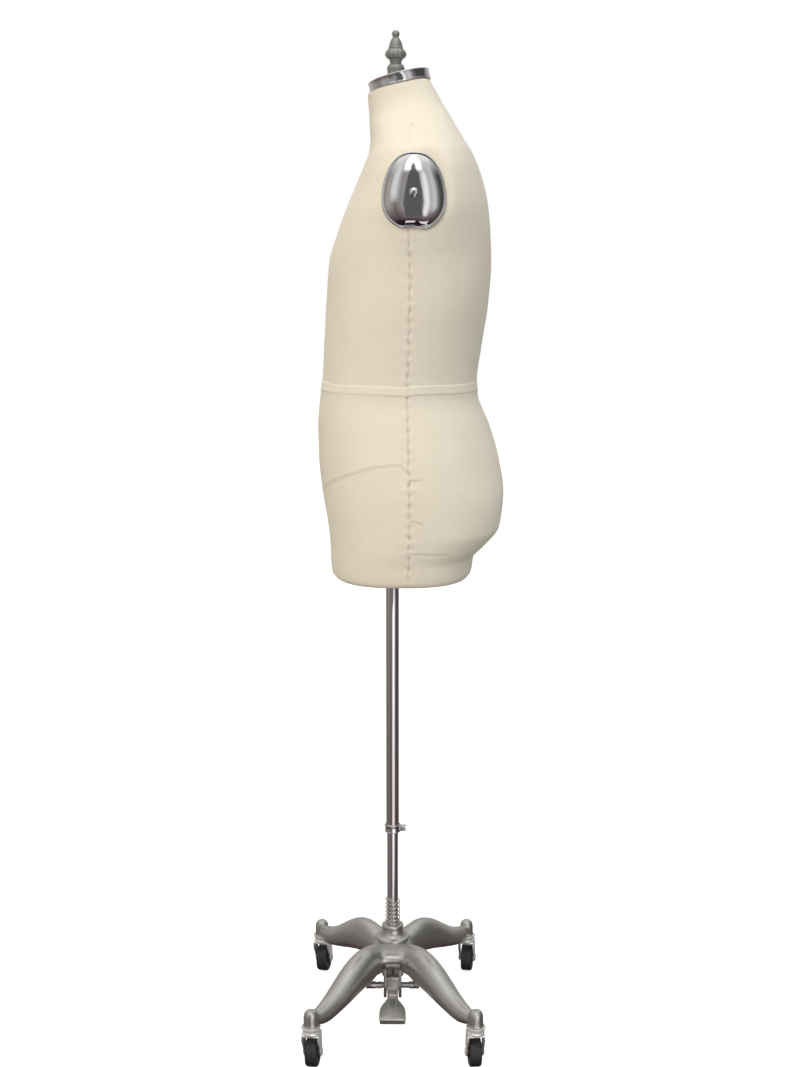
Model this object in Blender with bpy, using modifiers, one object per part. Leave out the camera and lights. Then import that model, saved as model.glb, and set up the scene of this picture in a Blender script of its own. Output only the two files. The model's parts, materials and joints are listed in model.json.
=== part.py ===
"""Dress form: a linen covered torso on a telescoping mast, over a cast base with four casters and a foot pedal.

Metres, +Z up. The form faces -Y and its left side is +X. The floor is z = 0. Everything hangs on one empty,
mast_axis, so the numbers below are measured from the mast's own axis.
"""
import math

import bmesh
import bpy
from mathutils import Matrix, Vector

MM = 0.001
GAP = 0.3 * MM                      # clearance between neighbouring solids

MAST_X = 6 * MM                     # the mast's place, so that the whole form stands over the origin
MAST_Y = -17 * MM

# Stand
POST_RADIUS = 9.5 * MM
POST_BORE = 7.6 * MM
POST_BOTTOM = 112 * MM
POST_TOP = 700 * MM
MAST_RADIUS = 11.0 * MM
MAST_BORE = 9.85 * MM
MAST_BOTTOM = 343 * MM
MAST_TOP = 1518 * MM
HUB_TOP = 175 * MM
HUB_RADIUS = 19 * MM
HUB_SKIRT_RADIUS = 28.5 * MM
POCKET_CEILING = 124 * MM           # roof of the hollow under the hub
SPRING_TOP = 222 * MM
SPRING_TURNS = 6
SPRING_WIRE = 2.2 * MM
SPRING_RADIUS = 12.3 * MM           # to the middle of the wire
ROD_RADIUS = 3 * MM
ROD_BOTTOM = 80 * MM
PEDAL_AXLE_X = 23 * MM
PEDAL_AXLE_Z = 72 * MM
PEDAL_AXLE_RADIUS = 5 * MM
PEDAL_AXLE_HALF = 46 * MM
COLLAR_BOTTOM = 341 * MM
COLLAR_TOP = 354 * MM

# Casters
CASTER_X = 179 * MM
CASTER_FRONT_Y = -132 * MM
CASTER_BACK_Y = 136 * MM
SOCKET_TOP = 104 * MM
SOCKET_BOTTOM = 76 * MM
SOCKET_RADIUS = 12 * MM
WHEEL_RADIUS = 25 * MM
WHEEL_SIDES = 20
WHEEL_CENTRE_Z = WHEEL_RADIUS * math.cos(math.pi / WHEEL_SIDES)     # a flat of the tread lies on the floor
WHEEL_WIDTH = 20 * MM
CASTER_TRAIL = 15 * MM
AXLE_RADIUS = 4 * MM

# Form
COVER_THICKNESS = 4 * MM            # linen on its wadding
SHELL_THICKNESS = 4 * MM
SHELL_DEPTH = 9 * MM                # the shell's outer face under the linen's
ARM_CENTRE_Y = 33 * MM
ARM_CENTRE_Z = 1396 * MM
ARM_PLANE_X = 200 * MM              # the flat of the armhole, at the arm plate's centre
ARM_TILT = math.radians(4)          # the top of the arm plate leans inwards
ARM_HALF_WIDTH = 48 * MM
ARM_HALF_HEIGHT = 57 * MM
FINIAL_Y = 6 * MM
NECK_TILT = math.radians(13.5)
NECK_TOP_AT_AXIS = 1588 * MM        # height of the neck cap's top face on the mast's axis
NECK_BAND_HEIGHT = 15.5 * MM
RING_POINTS = 24                    # points round each section of the torso
SQUARE = 2.25                       # exponent of a section's outline: 2 is an ellipse
SQUARE_AT_HEM = 2.6
HIP_HEIGHT = 860                    # millimetres, below which the sections are squarer

# Sections of the torso, from the neck down to the hem:
# (height at the mast axis, tilt in degrees, front Y, back Y, half width), lengths in millimetres
TORSO_SECTIONS = [
    (1571, 13.5, -38.5, 59, 55),    # under the neck band
    (1550, 12, -37, 71, 58),
    (1533, 10, -35.5, 81, 66),      # base of the neck
    (1516, 9, -35, 91, 92),
    (1498, 8, -34, 101, 128),       # shoulder slope
    (1478, 6, -36, 114, 168),
    (1458, 5, -43, 127, 199),       # top of the armhole
    (1425, 3, -56, 142, 214),
    (1385, 1, -73, 153, 215),       # middle of the armhole
    (1344, 0, -88, 157.5, 203),     # underarm
    (1300, 0, -101, 159, 190),
    (1235, 0, -106, 155, 182),      # chest
    (1165, 0, -110, 144, 169),
    (1111, 0, -114, 138, 161.5),
    (1088, 0, -117, 140, 160),      # waist
    (1040, 0, -121, 159, 168),
    (985, 0, -120, 174.5, 177),     # hip
    (930, 0, -114, 183, 181),       # seat
    (878, 0, -105.5, 177, 180),
    (848, 0, -102.5, 153, 177),
    (831, 0, -102, 136, 174),       # fold under the seat
    (803, 0, -99.5, 130, 171),
    (796, 0, -93, 124, 166),        # hem
]

CAGE_SWELL = 1.2                    # a six-point cage shrinks by this much when it is subdivided

# Sections of one leg, from the hub out: (distance from the mast axis, top z, bottom z, width) in millimetres
LEG_SECTIONS = [
    (8, 146, 110, 46),
    (45, 153, 102, 46),
    (80, 155, 96, 47),
    (112, 147, 89, 46),
    (140, 130, 81, 42),
    (166, 114, 74, 37),
    (192, 102, 69, 31),
    (218, 96, 77, 23),
]


# Sections of the saddle that joins two legs: (distance from the mast axis, top z, bottom z, width) in millimetres
SADDLE_SECTIONS = [
    (8, 148, 110, 56),
    (40, 148, 110, 68),
    (54, 139, 113, 76),
    (61, 131, 119, 72),
]


# ---------------------------------------------------------------- scene, materials and small tools

def clear_scene():
    for old in list(bpy.data.objects):
        bpy.data.objects.remove(old, do_unlink=True)


def new_collection(name):
    collection = bpy.data.collections.new(name)
    bpy.context.scene.collection.children.link(collection)
    return collection


clear_scene()
PARTS = new_collection("dress_form")
CUTTERS = new_collection("cutters")
CASTING_PIECES = new_collection("casting_pieces")
CASTING_CUTTERS = new_collection("casting_cutters")


def material(name, colour, roughness, metallic=0.0):
    made = bpy.data.materials.new(name)
    made.use_nodes = True
    shader = made.node_tree.nodes["Principled BSDF"]
    shader.inputs["Base Color"].default_value = (*colour, 1)
    shader.inputs["Roughness"].default_value = roughness
    shader.inputs["Metallic"].default_value = metallic
    return made


LINEN = ("linen", (0.76, 0.68, 0.54), 0.9)
TAPE = ("cotton_tape", (0.74, 0.66, 0.52), 0.9)
PAPER = ("papier_mache", (0.42, 0.33, 0.22), 0.85)
WOOD = ("plywood", (0.55, 0.38, 0.2), 0.7)
CHROME = ("chrome", (0.75, 0.75, 0.76), 0.08, 1.0)
CAST = ("silver_casting", (0.28, 0.28, 0.27), 0.42, 0.75)
PEWTER = ("pewter", (0.22, 0.24, 0.21), 0.4, 0.8)
ZINC = ("zinc_plate", (0.62, 0.62, 0.6), 0.28, 1.0)
SPRING_STEEL = ("spring_steel", (0.6, 0.57, 0.5), 0.22, 1.0)
STEEL = ("steel", (0.4, 0.4, 0.42), 0.35, 1.0)
BLACK_RUBBER = ("black_rubber", (0.02, 0.02, 0.022), 0.55)
BLACK_PLASTIC = ("black_plastic", (0.03, 0.03, 0.032), 0.4)


def empty(name, location, parent=None, turn=0.0):
    made = bpy.data.objects.new(name, None)
    made.location = location
    made.rotation_euler = (0, 0, turn)
    made.parent = parent
    PARTS.objects.link(made)
    return made


def place(name, mesh, finish, parent, location=(0, 0, 0), collection=None, sharp=30):
    """Make an object of a mesh; a finish of None makes a cutter or a piece that only a Boolean uses."""
    made = bpy.data.objects.new(name, mesh)
    made.location = location
    made.parent = parent
    mesh.shade_smooth()
    mesh.set_sharp_from_angle(angle=math.radians(sharp))
    (collection or PARTS).objects.link(made)
    if finish is None:
        made.hide_render = True
        made.display_type = "WIRE"
    else:
        mesh.materials.append(material(name + "_" + finish[0], *finish[1:]))
    return made


def mesh_from(bm, name):
    bmesh.ops.recalc_face_normals(bm, faces=bm.faces)
    mesh = bpy.data.meshes.new(name)
    bm.to_mesh(mesh)
    bm.free()
    return mesh


def turned(name, profile, finish, parent, steps=24, turn=None, collection=None, location=(0, 0, 0)):
    """A turned solid from a profile of (radius, height), which runs down its outer side.

    A profile whose ends are not on the axis is closed into a ring.
    """
    bm = bmesh.new()
    points = [bm.verts.new((radius, 0, height)) for radius, height in profile]
    for first, second in zip(points, points[1:]):
        bm.edges.new((first, second))
    if profile[0][0] > 0:
        bm.edges.new((points[-1], points[0]))
    mesh = bpy.data.meshes.new(name)
    bm.to_mesh(mesh)
    bm.free()
    made = place(name, mesh, finish, parent, location, collection)
    screw = made.modifiers.new("Turn", "SCREW")
    screw.steps = screw.render_steps = steps
    screw.use_merge_vertices = True
    screw.merge_threshold = 0.00001
    if turn:
        made.rotation_euler = turn
    return made


def cylinder_profile(radius, bottom, top):
    return [(0, top), (radius, top), (radius, bottom), (0, bottom)]


def tube_profile(outer, inner, bottom, top):
    return [(inner, top), (outer, top), (outer, bottom), (inner, bottom)]


def box(name, low, high, finish, parent, bevel=0.0, collection=None, location=(0, 0, 0)):
    bm = bmesh.new()
    bmesh.ops.create_cube(bm, size=1)
    size = Vector(high) - Vector(low)
    bmesh.ops.scale(bm, vec=size, verts=bm.verts)
    bmesh.ops.translate(bm, vec=(Vector(high) + Vector(low)) / 2, verts=bm.verts)
    made = place(name, mesh_from(bm, name), finish, parent, location, collection)
    if bevel:
        round_edges(made, bevel)
    return made


def round_edges(piece, width, segments=1):
    bevel = piece.modifiers.new("Rounded edges", "BEVEL")
    bevel.width = width
    bevel.segments = segments
    bevel.limit_method = "ANGLE"


def boolean(piece, other, operation="DIFFERENCE"):
    made = piece.modifiers.new(other.name, "BOOLEAN")
    made.operation = operation
    made.solver = "EXACT"
    if isinstance(other, bpy.types.Collection):
        made.operand_type = "COLLECTION"
        made.collection = other
    else:
        made.object = other


def loft(rings, close_start=True, close_end=True):
    """A bmesh through rings of equally many points."""
    bm = bmesh.new()
    rows = [[bm.verts.new(point) for point in ring] for ring in rings]
    for upper, lower in zip(rows, rows[1:]):
        for i in range(len(upper)):
            j = (i + 1) % len(upper)
            bm.faces.new((upper[i], upper[j], lower[j], lower[i]))
    if close_start:
        bm.faces.new(rows[0])
    if close_end:
        bm.faces.new(rows[-1])
    return bm


def subdivide(piece, levels):
    made = piece.modifiers.new("Subdivision", "SUBSURF")
    made.levels = made.render_levels = levels


def coil(name, radius, wire, bottom, top, turns, finish, parent, points_per_turn=10, turn=None, location=(0, 0, 0)):
    """A compression spring on a polyline, its ends inside the given heights."""
    data = bpy.data.curves.new(name, "CURVE")
    data.dimensions = "3D"
    data.bevel_depth = wire / 2
    data.bevel_resolution = 1
    data.use_fill_caps = True
    count = turns * points_per_turn + 1
    spline = data.splines.new("POLY")
    spline.points.add(count - 1)
    start, end = bottom + wire / 2, top - wire / 2
    for i in range(count):
        angle = 2 * math.pi * i / points_per_turn
        height = start + (end - start) * i / (count - 1)
        spline.points[i].co = (radius * math.cos(angle), radius * math.sin(angle), height, 1)
    data.materials.append(material(name + "_" + finish[0], *finish[1:]))
    made = bpy.data.objects.new(name, data)
    made.location = location
    made.parent = parent
    if turn:
        made.rotation_euler = turn
    PARTS.objects.link(made)
    return made


# ---------------------------------------------------------------- base casting

def leg_section(distance, top, bottom, width):
    """Six points of an upright rounded section, across a leg that runs along +X."""
    middle, half_height, half_width = (top + bottom) / 2, (top - bottom) / 2, width / 2
    ring = []
    for i in range(6):
        angle = math.radians(30 + 60 * i)
        across = half_width * math.cos(angle) * CAGE_SWELL
        up = half_height * math.sin(angle) * CAGE_SWELL
        ring.append((distance * MM, across * MM, (middle + up) * MM))
    return ring


def base_corner(x_side, y_side):
    return x_side * CASTER_X, CASTER_FRONT_Y if y_side < 0 else CASTER_BACK_Y, 0


def base_leg(name, x_side, y_side, parent):
    piece = place(name, mesh_from(loft([leg_section(*row) for row in LEG_SECTIONS]), name), None, parent,
                  collection=CASTING_PIECES)
    x, y, _ = base_corner(x_side, y_side)
    piece.rotation_euler = (0, 0, math.atan2(y, x))
    subdivide(piece, 1)


def base_saddle(name, turn, parent):
    piece = place(name, mesh_from(loft([leg_section(*row) for row in SADDLE_SECTIONS]), name), None, parent,
                  collection=CASTING_PIECES)
    piece.rotation_euler = (0, 0, turn)
    subdivide(piece, 1)


def base_casting(parent):
    """Hub, legs and sockets in one casting, hollow under the hub."""
    profile = [(0, HUB_TOP), (HUB_RADIUS - 3 * MM, HUB_TOP), (HUB_RADIUS, HUB_TOP - 3 * MM),
               (HUB_RADIUS + 1 * MM, 163 * MM), (HUB_SKIRT_RADIUS, 150 * MM), (HUB_SKIRT_RADIUS, 146 * MM),
               (34 * MM, 143 * MM), (37 * MM, 128 * MM), (35 * MM, 106 * MM), (0, 106 * MM)]
    casting = turned("base_casting", profile, CAST, parent)
    for name, x_side, y_side, _ in CASTERS:
        base_leg(name + "_leg", x_side, y_side, parent)
        socket_top = [(0, SOCKET_TOP), (7 * MM, SOCKET_TOP - 1 * MM), (11 * MM, SOCKET_TOP - 5 * MM),
                      (SOCKET_RADIUS, SOCKET_TOP - 11 * MM), (SOCKET_RADIUS, SOCKET_BOTTOM), (0, SOCKET_BOTTOM)]
        place_at = base_corner(x_side, y_side)
        turned(name + "_socket", socket_top, None, parent, 16, collection=CASTING_PIECES, location=place_at)
        stem_bore = cylinder_profile(5.5 * MM, SOCKET_BOTTOM - 5 * MM, 96 * MM)
        turned(name + "_stem_bore", stem_bore, None, parent, 12, collection=CASTING_CUTTERS, location=place_at)
    base_saddle("pedal_side_saddle", 0, parent)
    base_saddle("far_side_saddle", math.pi, parent)
    for side in (-1, 1):
        box("pedal_lug_" + ("front" if side < 0 else "back"),
            (PEDAL_AXLE_X - 7 * MM, side * 40 * MM - 4 * MM, PEDAL_AXLE_Z - 7 * MM),
            (PEDAL_AXLE_X + 15 * MM, side * 40 * MM + 4 * MM, 122 * MM), None, parent, collection=CASTING_PIECES)
    turned("post_bore", cylinder_profile(POST_RADIUS + 0.5 * MM, 100 * MM, HUB_TOP + 5 * MM), None, parent, 24,
           collection=CASTING_CUTTERS)
    box("hub_hollow", (-24 * MM, -19 * MM, 60 * MM), (44 * MM, 19 * MM, POCKET_CEILING), None, parent,
        collection=CASTING_CUTTERS)
    box("pedal_opening", (30 * MM, -17 * MM, 50 * MM), (80 * MM, 17 * MM, 121 * MM), None, parent,
        collection=CASTING_CUTTERS)
    turned("axle_bore", cylinder_profile(PEDAL_AXLE_RADIUS + 0.4 * MM, -60 * MM, 60 * MM), None, parent, 20,
           turn=(math.pi / 2, 0, 0), collection=CASTING_CUTTERS, location=(PEDAL_AXLE_X, 0, PEDAL_AXLE_Z))
    turned("set_screw_bore", cylinder_profile(3.4 * MM, 0, 50 * MM), None, parent, 12,
           turn=(0, -math.pi / 2, 0), collection=CASTING_CUTTERS, location=(-5 * MM, 0, 156 * MM))
    boolean(casting, CASTING_PIECES, "UNION")
    boolean(casting, CASTING_CUTTERS)


# ---------------------------------------------------------------- post, lock and spring

def post_and_lock(parent):
    turned("inner_post", tube_profile(POST_RADIUS, POST_BORE, POST_BOTTOM, POST_TOP), CHROME, parent, 32)
    turned("post_ring_nut", tube_profile(14 * MM, POST_RADIUS + 0.4 * MM, 115 * MM, POCKET_CEILING - GAP), ZINC,
           parent, 32)
    turned("hub_set_screw", cylinder_profile(3 * MM, 0, 14 * MM), STEEL, parent, 12, turn=(0, -math.pi / 2, 0),
           location=(-POST_RADIUS - GAP, 0, 156 * MM))
    turned("rod_guide", tube_profile(POST_BORE - GAP, ROD_RADIUS + 0.4 * MM, POST_BOTTOM, POST_BOTTOM + 14 * MM),
           STEEL, parent, 20)
    collet = [(7.2 * MM, POST_TOP + 24 * MM), (POST_RADIUS, POST_TOP + 24 * MM), (POST_RADIUS, POST_TOP + GAP),
              (3.9 * MM, POST_TOP + GAP), (3.9 * MM, POST_TOP + 8 * MM)]
    turned("lock_collet", collet, STEEL, parent, 24)
    coil("bumper_spring", SPRING_RADIUS, SPRING_WIRE, HUB_TOP + GAP, SPRING_TOP, SPRING_TURNS, SPRING_STEEL, parent)


def release_rod(parent):
    turned("release_rod", cylinder_profile(ROD_RADIUS, ROD_BOTTOM, POST_TOP + 24 * MM), STEEL, parent, 16)
    cone = [(ROD_RADIUS + GAP, POST_TOP + 28 * MM), (6.2 * MM, POST_TOP + 28 * MM), (6.2 * MM, POST_TOP + 24 * MM),
            (3.8 * MM, POST_TOP + 12 * MM), (ROD_RADIUS + GAP, POST_TOP + 12 * MM)]
    turned("lock_cone", cone, STEEL, parent, 20)


# ---------------------------------------------------------------- foot pedal

def flat_plate(points, thickness, name, parent, location, turn):
    """A flat plate of a closed outline in XY, extruded in Z, as a mesh."""
    bm = bmesh.new()
    ring = [bm.verts.new((x * MM, y * MM, -thickness / 2)) for x, y in points]
    face = bm.faces.new(ring)
    grown = bmesh.ops.extrude_face_region(bm, geom=[face])
    top = [item for item in grown["geom"] if isinstance(item, bmesh.types.BMVert)]
    bmesh.ops.translate(bm, vec=(0, 0, thickness), verts=top)
    made = place(name, mesh_from(bm, name), None, parent, location, CUTTERS)
    made.rotation_euler = turn
    return made


def foot_pedal(parent):
    """One casting that turns on the pedal axle: barrel, cheeks, arm, pad, and the nose that lifts the rod."""
    pivot = empty("pedal_pivot", (PEDAL_AXLE_X, 0, PEDAL_AXLE_Z), parent)
    barrel = turned("foot_pedal", tube_profile(9 * MM, PEDAL_AXLE_RADIUS + 0.4 * MM, -15 * MM, 15 * MM), CAST, pivot,
                    20, turn=(math.pi / 2, 0, 0))
    slope = math.radians(27)
    half = [(14, 9), (24, 8), (32, 10), (42, 16), (52, 21), (60, 22.5), (72, 22.5), (75, 19.5)]
    outline = half + [(x, -y) for x, y in reversed(half)]
    pad = flat_plate(outline, 6 * MM, "pedal_pad", pivot, (0, 0, -1 * MM), (0, slope, 0))
    round_edges(pad, 1.5 * MM)
    arm = box("pedal_arm", (4 * MM, -9 * MM, -7 * MM), (26 * MM, 9 * MM, 6 * MM), None, pivot, collection=CUTTERS)
    arm.rotation_euler = (0, slope, 0)
    boolean(barrel, pad, "UNION")
    boolean(barrel, arm, "UNION")
    for side in (-1, 1):
        cheek = box("pedal_cheek_" + str(side), (0, side * 13 * MM - 2 * MM, -17 * MM),
                    (13 * MM, side * 13 * MM + 2 * MM, 27 * MM), None, pivot, collection=CUTTERS)
        cheek.rotation_euler = (0, math.radians(8), 0)
        boolean(barrel, cheek, "UNION")
    head = box("pedal_head", (1 * MM, -12 * MM, 0), (11 * MM, 12 * MM, 20 * MM), None, pivot, collection=CUTTERS)
    head.rotation_euler = (0, math.radians(8), 0)
    boolean(barrel, head, "UNION")
    nose = box("pedal_nose", (-29 * MM, -6 * MM, 0), (-6 * MM, 6 * MM, 7.5 * MM), None, pivot, collection=CUTTERS)
    boolean(barrel, nose, "UNION")
    bore = turned("pedal_bore", cylinder_profile(PEDAL_AXLE_RADIUS + 0.4 * MM, -30 * MM, 30 * MM), None, pivot, 20,
                  turn=(math.pi / 2, 0, 0), collection=CUTTERS)
    boolean(barrel, bore)
    coil("pedal_spring", 7 * MM, 1.6 * MM, 17 * MM, 28 * MM, 4, SPRING_STEEL, pivot, 8, turn=(math.pi / 2, 0, 0))
    turned("pedal_axle", cylinder_profile(PEDAL_AXLE_RADIUS, -PEDAL_AXLE_HALF, PEDAL_AXLE_HALF), CAST, parent, 20,
           turn=(math.pi / 2, 0, 0), location=(PEDAL_AXLE_X, 0, PEDAL_AXLE_Z))


# ---------------------------------------------------------------- casters

# name, side in X, side in Y, resting yaw of the fork
CASTERS = [
    ("front_left", 1, -1, math.radians(-8)),
    ("back_left", 1, 1, math.radians(5)),
    ("front_right", -1, -1, math.radians(-12)),
    ("back_right", -1, 1, math.radians(-9)),
]


def caster(name, x_side, y_side, yaw, parent):
    """A stem caster: the fork trails to -X, and the wheel's origin is on its axle."""
    corner = base_corner(x_side, y_side)
    race = [(0, 95 * MM), (5 * MM, 95 * MM), (5 * MM, 75.4 * MM), (11 * MM, 75.4 * MM), (15.5 * MM, 74 * MM),
            (16 * MM, 72.4 * MM), (13.5 * MM, 70.6 * MM), (0, 69.6 * MM)]
    turned(name + "_caster_stem", race, ZINC, parent, 16, location=corner)
    swivel = empty(name + "_swivel", corner, parent, yaw)
    cap = [(0, 69.2 * MM), (10 * MM, 69.2 * MM), (14 * MM, 66 * MM), (14 * MM, 61 * MM), (12 * MM, 56 * MM),
           (0, 56 * MM)]
    fork = turned(name + "_caster_fork", cap, ZINC, swivel, 16)
    cheek_outline = [(11, 59), (11, 53), (1, 40), (-8, 21), (-11, 17.5), (-19, 17.5), (-22, 21), (-22, 30), (-18, 59)]
    straps = flat_plate(cheek_outline, 29 * MM, name + "_straps", swivel, (0, 0, 0), (math.pi / 2, 0, 0))
    boolean(fork, straps, "UNION")
    boolean(fork, box(name + "_wheel_room", (-45 * MM, -12.5 * MM, 5 * MM), (30 * MM, 12.5 * MM, 55 * MM), None,
                      swivel, collection=CUTTERS))
    wheel_centre = (-CASTER_TRAIL, 0, WHEEL_CENTRE_Z)
    on_axle = (math.pi / 2, 0, 0)
    boolean(fork, turned(name + "_axle_hole", cylinder_profile(AXLE_RADIUS + GAP, -20 * MM, 20 * MM), None, swivel,
                         12, on_axle, CUTTERS, wheel_centre))
    axle = [(0, 16.4 * MM), (5.6 * MM, 16.4 * MM), (6.4 * MM, 14.8 * MM), (AXLE_RADIUS, 14.8 * MM),
            (AXLE_RADIUS, -14.8 * MM), (6.4 * MM, -14.8 * MM), (5.6 * MM, -16.4 * MM), (0, -16.4 * MM)]
    turned(name + "_caster_axle", axle, ZINC, swivel, 12, on_axle, location=wheel_centre)
    core = [(AXLE_RADIUS + GAP, 11 * MM), (8 * MM, 11 * MM), (17 * MM, 7 * MM), (17 * MM, -7 * MM),
            (8 * MM, -11 * MM), (AXLE_RADIUS + GAP, -11 * MM)]
    turned(name + "_wheel_core", core, BLACK_PLASTIC, swivel, 20, on_axle, location=wheel_centre)
    half = WHEEL_WIDTH / 2
    tyre = [(17.5 * MM, half), (22.5 * MM, half), (WHEEL_RADIUS, half - 3 * MM), (WHEEL_RADIUS, 3 * MM - half),
            (22.5 * MM, -half), (17.5 * MM, -half)]
    turned(name + "_tyre", tyre, BLACK_RUBBER, swivel, WHEEL_SIDES, (math.pi / 2, math.pi / WHEEL_SIDES, 0),
           location=wheel_centre)


# ---------------------------------------------------------------- mast and collar

def stop_collar(parent):
    """A thin flared ring round the foot of the mast, slit at the back and drawn together by a screw."""
    profile = [(MAST_RADIUS + 0.4 * MM, COLLAR_TOP), (14.2 * MM, COLLAR_TOP), (14.2 * MM, COLLAR_TOP - 1.6 * MM),
               (12.9 * MM, COLLAR_TOP - 4 * MM), (12.9 * MM, COLLAR_BOTTOM), (MAST_RADIUS + 0.4 * MM, COLLAR_BOTTOM)]
    collar = turned("stop_collar", profile, CHROME, parent, 24)
    ears = box("collar_ears", (-4 * MM, 12 * MM, COLLAR_BOTTOM + 1 * MM), (4 * MM, 24 * MM, COLLAR_TOP - 2 * MM),
               None, parent, collection=CUTTERS)
    boolean(collar, ears, "UNION")
    boolean(collar, box("collar_slit", (-1 * MM, 9 * MM, COLLAR_BOTTOM - 2 * MM),
                        (1 * MM, 30 * MM, COLLAR_TOP + 2 * MM), None, parent, collection=CUTTERS))
    middle = (0, 19 * MM, (COLLAR_BOTTOM + COLLAR_TOP) / 2 - 0.5 * MM)
    across = (0, math.pi / 2, 0)
    boolean(collar, turned("collar_screw_hole", cylinder_profile(2 * MM, -10 * MM, 10 * MM), None, parent, 12, across,
                           CUTTERS, middle))
    screw = [(0, 7 * MM), (3 * MM, 7 * MM), (3 * MM, 4.3 * MM), (1.6 * MM, 4.3 * MM), (1.6 * MM, -6 * MM),
             (0, -6 * MM)]
    turned("collar_screw", screw, STEEL, parent, 12, across, location=middle)


def mast(parent):
    turned("mast_tube", tube_profile(MAST_RADIUS, MAST_BORE, MAST_BOTTOM, MAST_TOP), CHROME, parent, 32)
    socket = [(0, MAST_TOP + 4 * MM), (18 * MM, MAST_TOP + 4 * MM), (18 * MM, MAST_TOP + 1 * MM),
              (14 * MM, MAST_TOP - 1 * MM), (14 * MM, MAST_TOP - 24 * MM), (MAST_RADIUS + 0.4 * MM, MAST_TOP - 24 * MM),
              (MAST_RADIUS + 0.4 * MM, MAST_TOP + GAP), (0, MAST_TOP + GAP)]
    turned("top_socket", socket, STEEL, parent, 24)


# ---------------------------------------------------------------- torso

def arm_plane(z):
    return ARM_PLANE_X - (z - ARM_CENTRE_Z) * math.tan(ARM_TILT)


def section_ring(height, tilt, front, back, half_width, inset=0.0):
    """One closed section of the torso, squarer at the sides than an ellipse and flat across the armholes."""
    middle, half_depth = (front + back) / 2, (back - front) / 2 - inset
    squareness = 2 / (SQUARE_AT_HEM if height < HIP_HEIGHT else SQUARE)
    ring = []
    for i in range(RING_POINTS):
        angle = 2 * math.pi * (i + 0.5) / RING_POINTS
        across, along = math.cos(angle), math.sin(angle)
        x = math.copysign(abs(across) ** squareness, across) * (half_width - inset)
        y = middle + math.copysign(abs(along) ** squareness, along) * half_depth
        z = height + y * math.tan(math.radians(tilt))
        limit = arm_plane(z * MM) / MM - inset
        ring.append((max(-limit, min(limit, x)) * MM, y * MM, z * MM))
    return ring


def torso_skin(name, rows, thickness, depth, finish, parent):
    """The torso's surface given a wall, whose outer side is depth under the design surface."""
    rings = [section_ring(*row) for row in rows]
    skin = place(name, mesh_from(loft(rings, False, False), name), finish, parent, sharp=50)
    wall = skin.modifiers.new("Wall", "SOLIDIFY")
    wall.thickness = thickness
    wall.offset = -1 - 2 * depth / thickness
    for side, word in ((-1, "right"), (1, "left")):
        boolean(skin, arm_screw_bore(name, side, word, 5 * MM, parent))
    return skin


def arm_frame(side):
    """Place of an arm plate: local +Z points out of the figure's side, local +Y points up."""
    out = Vector((side * math.cos(ARM_TILT), 0, math.sin(ARM_TILT)))
    up = Vector((-side * math.sin(ARM_TILT), 0, math.cos(ARM_TILT)))
    along = up.cross(out)
    turn = Matrix((along, up, out)).transposed().to_euler()
    return (side * ARM_PLANE_X, ARM_CENTRE_Y, ARM_CENTRE_Z), turn


def arm_screw_bore(name, side, word, radius, parent):
    at, turn = arm_frame(side)
    return turned(name + "_arm_bore_" + word, cylinder_profile(radius, -30 * MM, 30 * MM), None, parent, 16, turn,
                  CUTTERS, at)


def egg(scale, height):
    """Outline of the arm plate: a round top, fuller lower down and nearly flat across the bottom."""
    ring = []
    for i in range(RING_POINTS):
        angle = 2 * math.pi * i / RING_POINTS
        across, up = math.cos(angle), math.sin(angle)
        flat = 0.8 if up < 0 else 1.0
        y = ARM_HALF_HEIGHT * math.copysign(abs(up) ** flat, up) * (0.92 if up < 0 else 1.06)
        x = ARM_HALF_WIDTH * across * (1 - 0.13 * up) * 0.992
        ring.append((x * scale, y * scale, height))
    return ring


def arm(side, word, parent):
    at, turn = arm_frame(side)
    bottom = 0.6 * MM
    rise = [(1.0, bottom), (0.985, 4 * MM), (0.93, 4.6 * MM), (0.78, 10 * MM), (0.45, 15.5 * MM), (0.09, 17 * MM)]
    plate = place(word + "_arm_plate", mesh_from(loft([egg(*row) for row in rise], False, False), word), CHROME,
                  parent, at)
    plate.rotation_euler = turn
    wall = plate.modifiers.new("Wall", "SOLIDIFY")
    wall.thickness = 1.4 * MM
    wall.offset = 0
    wall.use_even_offset = True
    screw = [(0, 20 * MM), (4 * MM, 20 * MM), (7 * MM, 18.2 * MM), (3.5 * MM, 18.2 * MM), (3.5 * MM, -31 * MM),
             (0, -31 * MM)]
    turned(word + "_arm_screw", screw, CHROME, parent, 16, turn, location=at)
    block_face = -SHELL_DEPTH - SHELL_THICKNESS - 5 * MM
    block = tube_profile(24 * MM, 4.2 * MM, block_face - 14 * MM, block_face)
    turned(word + "_arm_block", block, WOOD, parent, 20, turn, location=at)


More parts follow.
